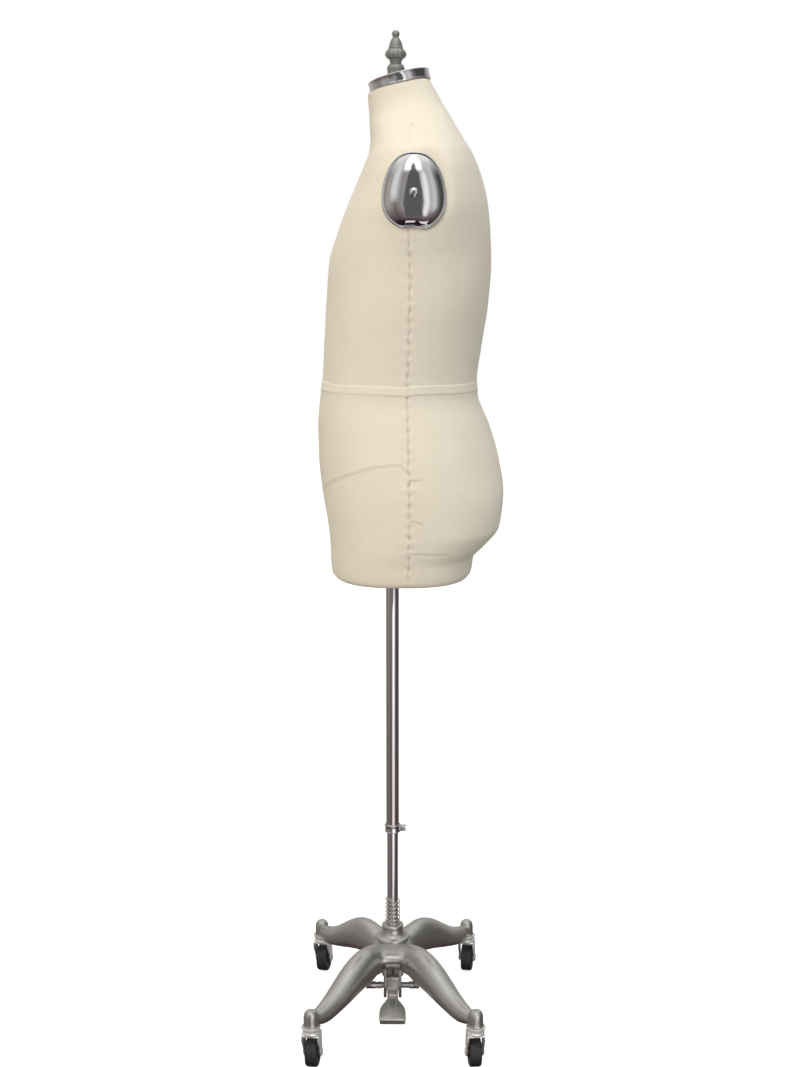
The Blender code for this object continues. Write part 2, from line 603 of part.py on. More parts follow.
def bottom_board(parent):
    """Plywood that closes the hem, with the flange that clamps it to the mast."""
    low = section_ring(*TORSO_SECTIONS[-1], inset=SHELL_DEPTH / MM + SHELL_THICKNESS / MM + 2)
    ring_low = [(x, y, 799 * MM) for x, y, _ in low]
    ring_high = [(x, y, 811 * MM) for x, y, _ in low]
    board = place("bottom_board", mesh_from(loft([ring_high, ring_low]), "bottom_board"), WOOD, parent)
    bore = turned("board_bore", cylinder_profile(MAST_RADIUS + 0.4 * MM, 780 * MM, 830 * MM), None, parent, 32,
                  collection=CUTTERS)
    boolean(board, bore)
    bore_radius = MAST_RADIUS + 0.4 * MM
    flange = [(bore_radius, 836 * MM), (15 * MM, 836 * MM), (15 * MM, 816 * MM), (30 * MM, 814.5 * MM),
              (30 * MM, 811.4 * MM), (bore_radius, 811.4 * MM)]
    made = turned("mast_flange", flange, STEEL, parent, 24)
    across = (0, math.pi / 2, 0)
    at = (MAST_RADIUS + GAP, 0, 826 * MM)
    boolean(made, turned("flange_screw_bore", cylinder_profile(2.9 * MM, -2 * MM, 20 * MM), None, parent, 12, across,
                         CUTTERS, at))
    screw = [(0, 12 * MM), (4.5 * MM, 12 * MM), (4.5 * MM, 8 * MM), (2.5 * MM, 8 * MM), (2.5 * MM, 0), (0, 0)]
    turned("flange_screw", screw, STEEL, parent, 12, across, location=at)


def waist_tape(parent):
    """A flat tape round the waist, between the two sections that bound it."""
    rows = [row for row in TORSO_SECTIONS if 1088 <= row[0] <= 1111]
    rings = []
    for row in rows:
        rings.append([Vector(point) for point in section_ring(*row, inset=-0.4)])
    middle = [a.lerp(b, 0.22) for a, b in zip(*rings)], [a.lerp(b, 0.86) for a, b in zip(*rings)]
    tape = place("waist_tape", mesh_from(loft(middle, False, False), "waist_tape"), TAPE, parent)
    wall = tape.modifiers.new("Wall", "SOLIDIFY")
    wall.thickness = 0.7 * MM
    wall.offset = 1


# ---------------------------------------------------------------- neck and finial

def neck_ring(half_width, half_depth, along_normal, points=28, middle_y=10 * MM):
    """An oval ring in the tilted plane of the neck, along_normal under its top face."""
    centre = Vector((0, middle_y, NECK_TOP_AT_AXIS + middle_y * math.tan(NECK_TILT)))
    along = Vector((0, math.cos(NECK_TILT), math.sin(NECK_TILT)))
    down = Vector((0, math.sin(NECK_TILT), -math.cos(NECK_TILT)))
    ring = []
    for i in range(points):
        angle = 2 * math.pi * i / points
        offset = Vector((half_width * math.cos(angle), 0, 0)) + along * (half_depth * math.sin(angle))
        ring.append(centre + offset + down * along_normal)
    return ring


def neck(parent):
    outer_width, outer_depth = 56 * MM, 49.5 * MM
    band_rings = [neck_ring(outer_width - 1.2 * MM, outer_depth - 1.2 * MM, 0),
                  neck_ring(outer_width, outer_depth, 1.2 * MM),
                  neck_ring(outer_width, outer_depth, NECK_BAND_HEIGHT - 0.8 * MM),
                  neck_ring(outer_width - 0.6 * MM, outer_depth - 0.6 * MM, NECK_BAND_HEIGHT),
                  neck_ring(outer_width - 2.2 * MM, outer_depth - 2.2 * MM, NECK_BAND_HEIGHT),
                  neck_ring(outer_width - 2.2 * MM, outer_depth - 2.2 * MM, 0)]
    band = loft(band_rings, False, False)
    rows = len(band_rings[0])
    band.verts.ensure_lookup_table()
    last, first = band.verts[-rows:], band.verts[:rows]
    for i in range(rows):
        j = (i + 1) % rows
        band.faces.new((last[i], last[j], first[j], first[i]))
    place("neck_band", mesh_from(band, "neck_band"), CHROME, parent)
    inner_width, inner_depth = outer_width - 2.6 * MM, outer_depth - 2.6 * MM
    cap = place("neck_cap", mesh_from(loft([neck_ring(inner_width, inner_depth, 0.5 * MM),
                                            neck_ring(inner_width, inner_depth, 5 * MM)]), "neck_cap"), CAST, parent)
    boss_radius, boss_top = 15.5 * MM, -1.9 * MM
    boolean(cap, place("neck_boss", mesh_from(loft([neck_ring(boss_radius, boss_radius, boss_top, 24, FINIAL_Y),
                                                    neck_ring(boss_radius, boss_radius, 3 * MM, 24, FINIAL_Y)]),
                                              "neck_boss"), None, parent, collection=CUTTERS), "UNION")
    block_width, block_depth = 38 * MM, 31 * MM
    block = place("neck_block", mesh_from(loft([neck_ring(block_width, block_depth, 5.4 * MM),
                                                neck_ring(block_width, block_depth, 44 * MM)]), "neck_block"), WOOD,
                  parent)
    stud_bore = turned("stud_bore", cylinder_profile(4.4 * MM, 1555 * MM, 1620 * MM), None, parent, 16,
                       collection=CUTTERS, location=(0, FINIAL_Y, 0))
    boolean(cap, stud_bore)
    boolean(block, stud_bore)
    turned("finial_stud", cylinder_profile(4 * MM, 1556 * MM, 1606 * MM), STEEL, parent, 16,
           location=(0, FINIAL_Y, 0))
    foot = NECK_TOP_AT_AXIS - 8 * MM
    finial_profile = [(0, 1661), (4, 1659.5), (6.2, 1655.5), (4.6, 1650), (7.5, 1645), (11.5, 1634), (12, 1631.5),
                      (14.2, 1630), (17, 1624), (14, 1618), (10, 1616.5), (9, 1611), (11.5, 1608), (14, 1604),
                      (13.5, 1599)]
    profile = [(radius * MM, height * MM) for radius, height in finial_profile]
    profile += [(13.3 * MM, foot), (4.4 * MM, foot), (4.4 * MM, 1607 * MM), (0, 1607 * MM)]
    finial = turned("finial", profile, PEWTER, parent, 16, location=(0, FINIAL_Y, 0))
    under_foot = mesh_from(loft([neck_ring(30 * MM, 30 * MM, boss_top - 0.1 * MM, 24, FINIAL_Y),
                                 neck_ring(30 * MM, 30 * MM, 40 * MM, 24, FINIAL_Y)]), "under_foot")
    boolean(finial, place("under_foot", under_foot, None, parent, collection=CUTTERS))


# ---------------------------------------------------------------- the whole dress form

def build():
    axis = empty("mast_axis", (MAST_X, MAST_Y, 0))
    base_casting(axis)
    post_and_lock(axis)
    release_rod(axis)
    foot_pedal(axis)
    for row in CASTERS:
        caster(*row, axis)
    stop_collar(axis)
    mast(axis)
    torso_skin("linen_cover", TORSO_SECTIONS, COVER_THICKNESS, 0, LINEN, axis)
    torso_skin("torso_shell", TORSO_SECTIONS[::2], SHELL_THICKNESS, SHELL_DEPTH, PAPER, axis)
    for side, word in ((1, "left"), (-1, "right")):
        arm(side, word, axis)
    bottom_board(axis)
    waist_tape(axis)
    neck(axis)


build()
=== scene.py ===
"""Looks for a linen-covered dress form on a telescoping chrome stand with a cast caster base."""
import json
import math

import bmesh
import bpy
import numpy as np
from mathutils import Matrix, Vector


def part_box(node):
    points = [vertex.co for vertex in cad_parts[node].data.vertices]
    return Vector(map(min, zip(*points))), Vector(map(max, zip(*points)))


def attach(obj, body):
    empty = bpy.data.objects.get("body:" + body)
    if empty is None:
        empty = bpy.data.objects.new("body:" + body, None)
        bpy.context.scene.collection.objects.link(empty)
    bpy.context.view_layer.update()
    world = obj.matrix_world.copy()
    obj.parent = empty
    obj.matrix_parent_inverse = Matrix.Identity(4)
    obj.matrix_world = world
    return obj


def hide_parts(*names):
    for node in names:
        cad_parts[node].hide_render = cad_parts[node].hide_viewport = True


MM = 0.001
SCENE = bpy.context.scene
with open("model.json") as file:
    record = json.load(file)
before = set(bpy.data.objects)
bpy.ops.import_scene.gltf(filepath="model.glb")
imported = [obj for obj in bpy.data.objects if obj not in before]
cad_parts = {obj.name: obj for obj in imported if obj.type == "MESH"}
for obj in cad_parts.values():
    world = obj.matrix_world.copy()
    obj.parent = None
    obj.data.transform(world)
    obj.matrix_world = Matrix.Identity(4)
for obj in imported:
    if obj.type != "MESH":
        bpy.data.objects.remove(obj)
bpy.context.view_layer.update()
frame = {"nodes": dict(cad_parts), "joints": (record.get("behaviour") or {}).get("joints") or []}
JOINTS = {joint["name"]: joint for joint in frame["joints"]}
mast_low, mast_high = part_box("mast_tube")
MAST_AXIS = Vector(((mast_low.x + mast_high.x) / 2, (mast_low.y + mast_high.y) / 2, 0))
ON_MAST = Matrix.Translation(MAST_AXIS)


# -------- shader nodes

def is_socket(value):
    return isinstance(value, bpy.types.NodeSocket)


def tree_of(*values):
    """The node tree of the first socket among some values."""
    return next(value.id_data for value in values if is_socket(value))


def add(tree, kind, inputs=None, **settings):
    """One shader node: inputs are numbers, colours or the sockets that feed them."""
    node = tree.nodes.new("ShaderNode" + kind)
    for name, value in settings.items():
        setattr(node, name, value)
    connect(node, inputs or {})
    return node


def connect(node, inputs):
    for key, value in inputs.items():
        if is_socket(value):
            node.id_data.links.new(value, node.inputs[key])
        else:
            node.inputs[key].default_value = value


def calc(operation, *values):
    return add(tree_of(*values), "Math", dict(enumerate(values)), operation=operation).outputs[0]


def plus(first, second):
    return calc("ADD", first, second)


def times(first, second):
    return calc("MULTIPLY", first, second)


def remap(value, low, high, to_low=0.0, to_high=1.0):
    inputs = {"Value": value, "From Min": low, "From Max": high, "To Min": to_low, "To Max": to_high}
    return add(value.id_data, "MapRange", inputs, clamp=True).outputs[0]


def blended(factor, first, second):
    inputs = {0: factor, 6: first, 7: second}
    return add(tree_of(*inputs.values()), "Mix", inputs, data_type="RGBA").outputs[2]


def noise(vector, scale, detail=2.0, rough=0.5):
    inputs = {"Vector": vector, "Scale": scale, "Detail": detail, "Roughness": rough}
    return add(vector.id_data, "TexNoise", inputs).outputs[0]


def stretched(vector, scale):
    return add(vector.id_data, "Mapping", {"Vector": vector, "Scale": scale}).outputs[0]


def colour(red, green, blue):
    return (red, green, blue, 1.0)


def scaled(tint, factor):
    """The tint made darker or lighter."""
    return colour(*[min(1.0, factor * part) for part in tint[:3]])


def node_group(name, inputs, outputs, build):
    """A shader node group; inputs carry their defaults, and build returns the outputs in order."""
    tree = bpy.data.node_groups.new(name, "ShaderNodeTree")
    for label, default in inputs.items():
        kind = "NodeSocketFloat" if isinstance(default, float) else "NodeSocketVector"
        tree.interface.new_socket(name=label, in_out="INPUT", socket_type=kind).default_value = default
    for label in outputs:
        tree.interface.new_socket(name=label, in_out="OUTPUT", socket_type="NodeSocketFloat")
    entry = tree.nodes.new("NodeGroupInput")
    leaving = tree.nodes.new("NodeGroupOutput")
    for index, result in enumerate(build(tree, {label: entry.outputs[label] for label in inputs})):
        tree.links.new(result, leaving.inputs[index])
    return tree


def use(group, inputs):
    return add(tree_of(*inputs.values()), "Group", inputs, node_tree=group).outputs


def build_weave(tree, given):
    """Plain weave: threads that go over and under each other, with thicker slubs here and there."""
    threads = add(tree, "VectorMath", {0: given["Vector"], 1: given["Pitch"]}, operation="DIVIDE").outputs[0]
    apart = add(tree, "SeparateXYZ", {0: threads}).outputs
    cell = plus(calc("FLOOR", apart[0]), calc("FLOOR", apart[1]))
    over = calc("FLOORED_MODULO", cell, 2.0)
    ridges = [calc("ABSOLUTE", calc("SINE", times(apart[i], math.pi))) for i in (0, 1)]
    weft = times(ridges[0], over)
    warp = times(ridges[1], calc("SUBTRACT", 1.0, over))
    across = noise(stretched(threads, (0.03, 0.55, 1)), 1.0, 3.0, 0.6)
    along = noise(stretched(threads, (0.55, 0.03, 1)), 1.0, 3.0, 0.6)
    slubs = times(plus(across, along), 0.5)
    height = plus(plus(weft, warp), times(slubs, given["Slubs"]))
    return height, slubs


ORIGIN = (0.0, 0.0, 0.0)
WEAVE = node_group("plain weave", {"Vector": ORIGIN, "Pitch": (0.0007, 0.0007, 1.0), "Slubs": 1.5},
                   ("Height", "Slub"), build_weave)


def build_wear(tree, given):
    """High edges, broken up so that they look rubbed and not drawn, and the hollows, which are made darker."""
    edge = add(tree, "NewGeometry").outputs["Pointiness"]
    spots = noise(given["Vector"], given["Scale"], 4.0, 0.65)
    rubbed = times(remap(edge, 0.505, 0.56), remap(spots, 0.3, 0.7))
    # the hollows: darker where pointiness is low, broken up by spots
    hollow_mask = times(remap(edge, 0.495, 0.44), remap(spots, 0.75, 0.25))
    return times(rubbed, given["Amount"]), times(hollow_mask, given["Amount"])


WEAR = node_group("edge wear", {"Vector": ORIGIN, "Scale": 60.0, "Amount": 1.0}, ("Rubbed", "Dirt"), build_wear)


def build_cast_grain(tree, given):
    """The sandy skin of a casting under paint: fine grain on a slow ripple."""
    fine = noise(given["Vector"], given["Grain"], 3.0, 0.6)
    slow = noise(given["Vector"], times(given["Grain"], 0.09), 2.0, 0.5)
    pits = add(tree, "TexVoronoi", {"Vector": given["Vector"], "Scale": times(given["Grain"], 0.35)},
               feature="F1").outputs["Distance"]
    pitted = remap(pits, 0.0, 0.22, 0.0, 1.0)
    height = plus(times(fine, 0.45), times(pitted, 0.25))
    return plus(height, times(slow, 0.9)), fine


GRAIN = node_group("cast grain", {"Vector": ORIGIN, "Grain": 900.0}, ("Height", "Speck"), build_cast_grain)


def build_scratches(tree, given):
    """Hairlines along one direction, and the smudges left by hands."""
    hair = noise(add(tree, "VectorMath", {0: given["Vector"], 1: given["Direction"]},
                     operation="MULTIPLY").outputs[0], 1.0, 2.0, 0.7)
    lines = remap(hair, 0.62, 0.72)
    smudge = remap(noise(given["Vector"], given["Smudge scale"], 3.0, 0.6), 0.4, 0.75)
    return lines, smudge


SCRATCHES = node_group("hairlines and smudges", {"Vector": ORIGIN, "Direction": (2500.0, 2500.0, 60.0),
                                                 "Smudge scale": 18.0}, ("Lines", "Smudge"), build_scratches)


def build_dust(tree, given):
    """Settled on what faces up, thicker in patches."""
    facing = add(tree, "SeparateXYZ", {0: add(tree, "NewGeometry").outputs["Normal"]}).outputs[2]
    patches = remap(noise(given["Vector"], 45.0, 4.0, 0.7), 0.35, 0.75)
    settled = times(remap(facing, 0.35, 1.0), patches)
    return (times(settled, given["Amount"]),)


DUST = node_group("dust", {"Vector": ORIGIN, "Amount": 0.3}, ("Mask",), build_dust)


# -------- finishes

def named(sockets):
    return {key.replace("_", " "): value for key, value in sockets.items()}


def new_finish(name, **constants):
    """A material with one Principled shader, its constants on its own sockets, and the place on the piece."""
    made = bpy.data.materials.new(name)
    made.use_nodes = True
    tree = made.node_tree
    tree.nodes.clear()
    shader = add(tree, "BsdfPrincipled", named(constants))
    add(tree, "OutputMaterial", {"Surface": shader.outputs[0]})
    return made, shader, add(tree, "TexCoord").outputs["Object"]


def feed(shader, **sockets):
    connect(shader, named(sockets))


def bump(height, distance, strength, **under):
    inputs = {"Height": height, "Distance": distance, "Strength": strength, **under}
    return add(height.id_data, "Bump", inputs).outputs[0]


def cloth_finish(name, light, dark, pitch, slubs, streaks, seams=0.0):
    """Unbleached woven cloth on the piece's own cloth map, with faint pulls, darker in its hollows, and with
    painted shade in the dents of its seams, stitches and folds.
    """
    made, shader, place = new_finish(name, Sheen_Weight=0.18, Sheen_Roughness=0.5, IOR=1.45,
                                     Specular_IOR_Level=0.25)
    tree = made.node_tree
    cloth = add(tree, "UVMap", uv_map="cloth").outputs[0]
    weave = use(WEAVE, {"Vector": cloth, "Pitch": (pitch, pitch, 1.0), "Slubs": slubs})
    pulls = noise(stretched(cloth, (70, 4.5, 1)), 1.0, 3.0, 0.55)
    patches = noise(place, 7.0, 3.0, 0.5)
    warm = blended(remap(patches, 0.35, 0.7), light, dark)
    shaded = blended(remap(pulls, 0.3, 0.75, 0.0, streaks), warm, colour(0.60, 0.52, 0.39))
    threads = blended(remap(weave["Slub"], 0.36, 0.66, 0.0, 0.35), shaded, colour(0.91, 0.86, 0.75))
    wear = use(WEAR, {"Vector": place, "Scale": 90.0, "Amount": 0.35})
    hollows_and_seam_shade = blended(wear["Dirt"], threads, colour(0.47, 0.40, 0.30))
    # painted shade: the sewn attribute darkens the linen in the dents of its seams, stitch dimples and folds
    if seams:
        depth = add(tree, "Attribute", attribute_name="sewn").outputs["Fac"]
        hollows_and_seam_shade = blended(remap(depth, 0.0, 1.0, 0.0, seams), hollows_and_seam_shade, colour(0.36, 0.27, 0.16))
    rough = remap(weave["Slub"], 0.3, 0.7, 0.95, 0.8)
    slow = bump(pulls, 0.0005, 0.35)
    feed(shader, Base_Color=hollows_and_seam_shade, Roughness=rough, Normal=bump(weave["Height"], pitch * 0.22, 0.5, Normal=slow))
    return made


def mirror_finish(name, tint, rough, direction, smudge_scale=18.0):
    """Bright plate: nearly a mirror, with hairlines along the work and a few hand marks."""
    made, shader, place = new_finish(name, Metallic=1.0)
    marks = use(SCRATCHES, {"Vector": place, "Direction": direction, "Smudge scale": smudge_scale})
    wear = use(WEAR, {"Vector": place, "Scale": 120.0, "Amount": 0.6})
    base = blended(marks["Smudge"], tint, scaled(tint, 0.93))
    dull = blended(wear["Dirt"], base, colour(0.25, 0.23, 0.20))
    roughness = plus(rough, plus(times(marks["Lines"], 0.05), times(marks["Smudge"], 0.05)))
    feed(shader, Base_Color=dull, Roughness=roughness, Normal=bump(marks["Lines"], 0.00002, 0.25))
    return made


def cast_finish(name, paint, bare, rough, grain, metal, depth=0.00018, mottle=0.35):
    """Painted or bare casting: sandy skin, lighter rubbed ridges, darker hollows and settled dust."""
    made, shader, place = new_finish(name, Coat_Roughness=0.35)
    skin = use(GRAIN, {"Vector": place, "Grain": grain})
    wear = use(WEAR, {"Vector": place, "Scale": 70.0, "Amount": 0.9})
    dust = use(DUST, {"Vector": place, "Amount": 0.22})
    patches = noise(place, 26.0, 4.0, 0.6)
    shade = blended(remap(patches, 0.35, 0.7, 0.0, mottle), paint, scaled(paint, 0.72))
    speck = blended(remap(skin["Speck"], 0.35, 0.65, 0.0, 0.22), shade, scaled(paint, 1.35))
    rubbed = blended(wear["Rubbed"], speck, bare)
    hollow = blended(wear["Dirt"], rubbed, colour(0.07, 0.068, 0.06))
    dusty = blended(dust["Mask"], hollow, colour(0.42, 0.40, 0.36))
    roughness = plus(remap(patches, 0.3, 0.7, rough - 0.05, rough + 0.07), times(dust["Mask"], 0.3))
    feed(shader, Base_Color=dusty, Roughness=roughness, Metallic=remap(dust["Mask"], 0.0, 0.5, metal, metal * 0.5),
         Coat_Weight=0.15, Normal=bump(skin["Height"], depth, 0.6))
    return made


def plated_finish(name, tint, rough, direction, metal=1.0):
    """Zinc plate or turned steel: drawn lines, cloudy spangle and dull spots."""
    made, shader, place = new_finish(name)
    marks = use(SCRATCHES, {"Vector": place, "Direction": direction, "Smudge scale": 60.0})
    wear = use(WEAR, {"Vector": place, "Scale": 150.0, "Amount": 0.8})
    cloud = add(place.id_data, "TexVoronoi", {"Vector": place, "Scale": 260.0},
                feature="SMOOTH_F1").outputs["Distance"]
    base = blended(remap(cloud, 0.1, 0.6, 0.0, 0.3), tint, scaled(tint, 0.8))
    hollows_darkened = blended(wear["Dirt"], base, colour(0.10, 0.09, 0.08))
    roughness = plus(remap(cloud, 0.1, 0.6, rough, rough + 0.1), times(marks["Smudge"], 0.06))
    feed(shader, Base_Color=hollows_darkened, Roughness=roughness, Metallic=remap(wear["Dirt"], 0.0, 1.0, metal, metal * 0.5),
         Normal=bump(marks["Lines"], 0.00003, 0.4))
    return made


def black_finish(name, tint, rough, grain, scuff):
    """Moulded rubber or plastic, scuffed to grey on its edges and holding a little floor dust."""
    made, shader, place = new_finish(name, IOR=1.5, Specular_IOR_Level=0.5)
    wear = use(WEAR, {"Vector": place, "Scale": 180.0, "Amount": scuff})
    dust = use(DUST, {"Vector": place, "Amount": 0.25})
    fine = noise(place, grain, 3.0, 0.6)
    base = blended(remap(fine, 0.4, 0.7, 0.0, 0.5), tint, colour(0.055, 0.055, 0.058))
    scuffed = blended(wear["Rubbed"], base, colour(0.16, 0.155, 0.15))
    dusty = blended(dust["Mask"], scuffed, colour(0.25, 0.235, 0.21))
    roughness = remap(fine, 0.3, 0.7, rough - 0.05, rough + 0.1)
    feed(shader, Base_Color=dusty, Normal=bump(fine, 0.00008, 0.5), Roughness=roughness)
    return made


def wood_finish(name, light, dark, scale):
    """Plywood or pressed board: long grain, fine pores and a few darker bands."""
    made, shader, place = new_finish(name)
    bands = add(place.id_data, "TexWave", {"Vector": stretched(place, (1.0, 0.12, 1.0)), "Scale": scale,
                                           "Distortion": 6.0, "Detail": 3.0, "Detail Scale": 1.2}).outputs["Fac"]
    pores = noise(stretched(place, (900, 60, 900)), 1.0, 2.0, 0.6)
    base = blended(bands, light, dark)
    feed(shader, Base_Color=blended(remap(pores, 0.55, 0.7, 0.0, 0.5), base, scaled(dark, 0.5)),
         Roughness=remap(pores, 0.3, 0.7, 0.55, 0.75), Normal=bump(pores, 0.0001, 0.5))
    return made


# seams=0.6 sets how strong the painted shade in the linen's seams, stitch dimples and folds is
LINEN = cloth_finish("unbleached_linen", colour(0.765, 0.695, 0.58), colour(0.73, 0.655, 0.53), 0.00075, 1.4, 0.12,
                     seams=0.6)
TAPE = cloth_finish("cotton_tape", colour(0.80, 0.73, 0.61), colour(0.76, 0.685, 0.56), 0.0005, 0.7, 0.1)
THREAD = cloth_finish("waxed_thread", colour(0.50, 0.42, 0.30), colour(0.42, 0.34, 0.23), 0.0004, 0.5, 0.1)
CHROME = mirror_finish("mirror_chrome", colour(0.86, 0.86, 0.87), 0.045, (900.0, 900.0, 60.0))
TUBE_CHROME = mirror_finish("tube_chrome", colour(0.80, 0.79, 0.79), 0.09, (2500.0, 2500.0, 14.0), 9.0)
SPRING = plated_finish("bright_spring_wire", colour(0.80, 0.77, 0.70), 0.16, (1500.0, 1500.0, 1500.0))
ZINC = plated_finish("bright_zinc", colour(0.97, 0.97, 0.96), 0.20, (1500.0, 1500.0, 90.0), metal=0.6)
STEEL = plated_finish("turned_steel", colour(0.52, 0.52, 0.53), 0.3, (60.0, 60.0, 2500.0))
CASTING = cast_finish("silver_grey_casting", colour(0.50, 0.495, 0.475), colour(0.76, 0.76, 0.75), 0.29, 1100.0,
                      0.86, depth=0.00014, mottle=0.2)
PEWTER = cast_finish("dull_pewter", colour(0.31, 0.325, 0.29), colour(0.56, 0.57, 0.53), 0.40, 1500.0, 0.65,
                     depth=0.00009, mottle=0.3)
RUBBER = black_finish("black_tread_rubber", colour(0.012, 0.012, 0.013), 0.5, 700.0, 0.5)
PLASTIC = black_finish("black_moulded_core", colour(0.016, 0.016, 0.017), 0.3, 1200.0, 0.35)
PLYWOOD = wood_finish("plywood", colour(0.62, 0.45, 0.27), colour(0.47, 0.31, 0.17), 60.0)
BOARD = wood_finish("pressed_paper_board", colour(0.45, 0.36, 0.25), colour(0.36, 0.28, 0.19), 25.0)


SLOT_FINISHES = {"linen": LINEN, "tape": TAPE, "paper_shell": BOARD, "wood": PLYWOOD, "polished_chrome": CHROME,
                 "silver_casting": CASTING, "pewter": PEWTER, "zinc": ZINC, "spring_steel": SPRING, "steel": STEEL,
                 "black_tread": RUBBER, "black_plastic": PLASTIC}
FINISH_SLOTS = {finish.name: slot for slot, finish in SLOT_FINISHES.items()}
FINISH_SLOTS.update({TUBE_CHROME.name: "polished_chrome", THREAD.name: "linen"})


# -------- making pieces

def at(x, y, z):
    """A move in mm."""
    return Matrix.Translation((x * MM, y * MM, z * MM))


def turn_about(axis, degrees):
    return Matrix.Rotation(math.radians(degrees), 4, axis)


def mesh_of(name, bm, place=Matrix.Identity(4)):
    """The bmesh as a mesh in its place, its faces pointing outwards."""
    bmesh.ops.transform(bm, matrix=place, verts=bm.verts)
    bmesh.ops.recalc_face_normals(bm, faces=bm.faces)
    mesh = bpy.data.meshes.new(name)
    bm.to_mesh(mesh)
    bm.free()
    return mesh


def linked(name, mesh):
    made = bpy.data.objects.new(name, mesh)
    SCENE.collection.objects.link(made)
    return made


def finished(name, bm, material, body, *replaced, place=ON_MAST, sharp=None):
    """Turn a bmesh into a piece that rides on a body and stands for the CAD nodes it replaces."""
    piece = linked(name, mesh_of(name, bm, place))
    piece.data.shade_smooth()
    if sharp:
        piece.data.set_sharp_from_angle(angle=math.radians(sharp))
    piece.data.materials.append(material)
    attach(piece, body)
    if replaced:
        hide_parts(*replaced)
    return piece


def mirrored(half, *middle):
    """A profile or an outline whose second half is its first half turned over."""
    return half + list(middle) + [(x, -y) for x, y in reversed(half)]


def rounded(points, radius, closed, steps=3):
    """A profile with its corners eased: each corner becomes a short curve."""
    count = len(points)
    out = []
    for i, (x, y) in enumerate(points):
        if not closed and i in (0, count - 1):
            out.append((x, y))
            continue
        before, after = Vector(points[i - 1]), Vector(points[(i + 1) % count])
        corner = Vector((x, y))
        start = corner + (before - corner).normalized() * min(radius, 0.42 * (before - corner).length)
        end = corner + (after - corner).normalized() * min(radius, 0.42 * (after - corner).length)
        for k in range(steps + 1):
            t = k / steps
            out.append(tuple(start * (1 - t) ** 2 + corner * (2 * t * (1 - t)) + end * t ** 2))
    return out


def spun(profile, steps=64, radius=0.5):
    """A turned solid from (radius, height) in mm. A profile that starts off the axis is closed into a ring."""
    ring = profile[0][0] > 0
    points = rounded(profile, radius, ring) if radius else profile
    bm = bmesh.new()
    line = [bm.verts.new((x * MM, 0, z * MM)) for x, z in points]
    for first, second in zip(line, line[1:]):
        bm.edges.new((first, second))
    if ring:
        bm.edges.new((line[-1], line[0]))
    bmesh.ops.spin(bm, geom=bm.verts[:] + bm.edges[:], cent=(0, 0, 0), axis=(0, 0, 1), dvec=(0, 0, 0),
                   angle=2 * math.pi, steps=steps, use_merge=True, use_duplicate=False)
    bmesh.ops.remove_doubles(bm, verts=bm.verts, dist=0.001 * MM)
    return bm


def wound(wire, radius, turns, steps, sides, bottom, rise):
    """Round wire wound about Z, in mm; steps are to a turn."""
    bm = bmesh.new()
    section = bmesh.ops.create_circle(bm, cap_ends=True, segments=sides, radius=wire * MM)["verts"]
    bmesh.ops.rotate(bm, verts=section, cent=(0, 0, 0), matrix=Matrix.Rotation(math.pi / 2, 3, "X"))
    bmesh.ops.translate(bm, verts=section, vec=(radius * MM, 0, bottom * MM))
    bmesh.ops.spin(bm, geom=bm.verts[:] + bm.edges[:] + bm.faces[:], cent=(0, 0, 0), axis=(0, 0, 1),
                   dvec=(0, 0, rise / turns / steps * MM), angle=2 * math.pi * turns, steps=turns * steps,
                   use_merge=False, use_duplicate=False)
    bmesh.ops.remove_doubles(bm, verts=bm.verts, dist=0.001 * MM)
    return bm


def eased_edges(bm, ease):
    bmesh.ops.bevel(bm, geom=bm.edges[:], offset=ease * MM, offset_type="OFFSET", segments=3, profile=0.5,
                    affect="EDGES", material=-1, clamp_overlap=True)


def plate(points, thickness, ease):
    """A flat plate of an outline in XY, in mm, centred in Z, its edges bevelled by ease."""
    bm = bmesh.new()
    face = bm.faces.new([bm.verts.new((x * MM, y * MM, -thickness * MM / 2)) for x, y in points])
    grown = bmesh.ops.extrude_face_region(bm, geom=[face])
    top = [item for item in grown["geom"] if isinstance(item, bmesh.types.BMVert)]
    bmesh.ops.translate(bm, vec=(0, 0, thickness * MM), verts=top)
    bmesh.ops.recalc_face_normals(bm, faces=bm.faces)
    eased_edges(bm, ease)
    return bm


def block(low, high, ease):
    """A box between two corners in mm, its edges rounded by ease."""
    bm = bmesh.new()
    bmesh.ops.create_cube(bm, size=1)
    for vert in bm.verts:
        vert.co = [MM * ((a + b) / 2 + (b - a) * part) for a, b, part in zip(low, high, vert.co)]
    eased_edges(bm, ease)
    return bm


def gathered(*parts):
    """Several shells in one bmesh; a part is a bmesh, or a pair of a bmesh and its place."""
    whole = bmesh.new()
    for part in parts:
        mesh = mesh_of("part", *part) if isinstance(part, tuple) else mesh_of("part", part)
        whole.from_mesh(mesh)
        bpy.data.meshes.remove(mesh)
    return whole


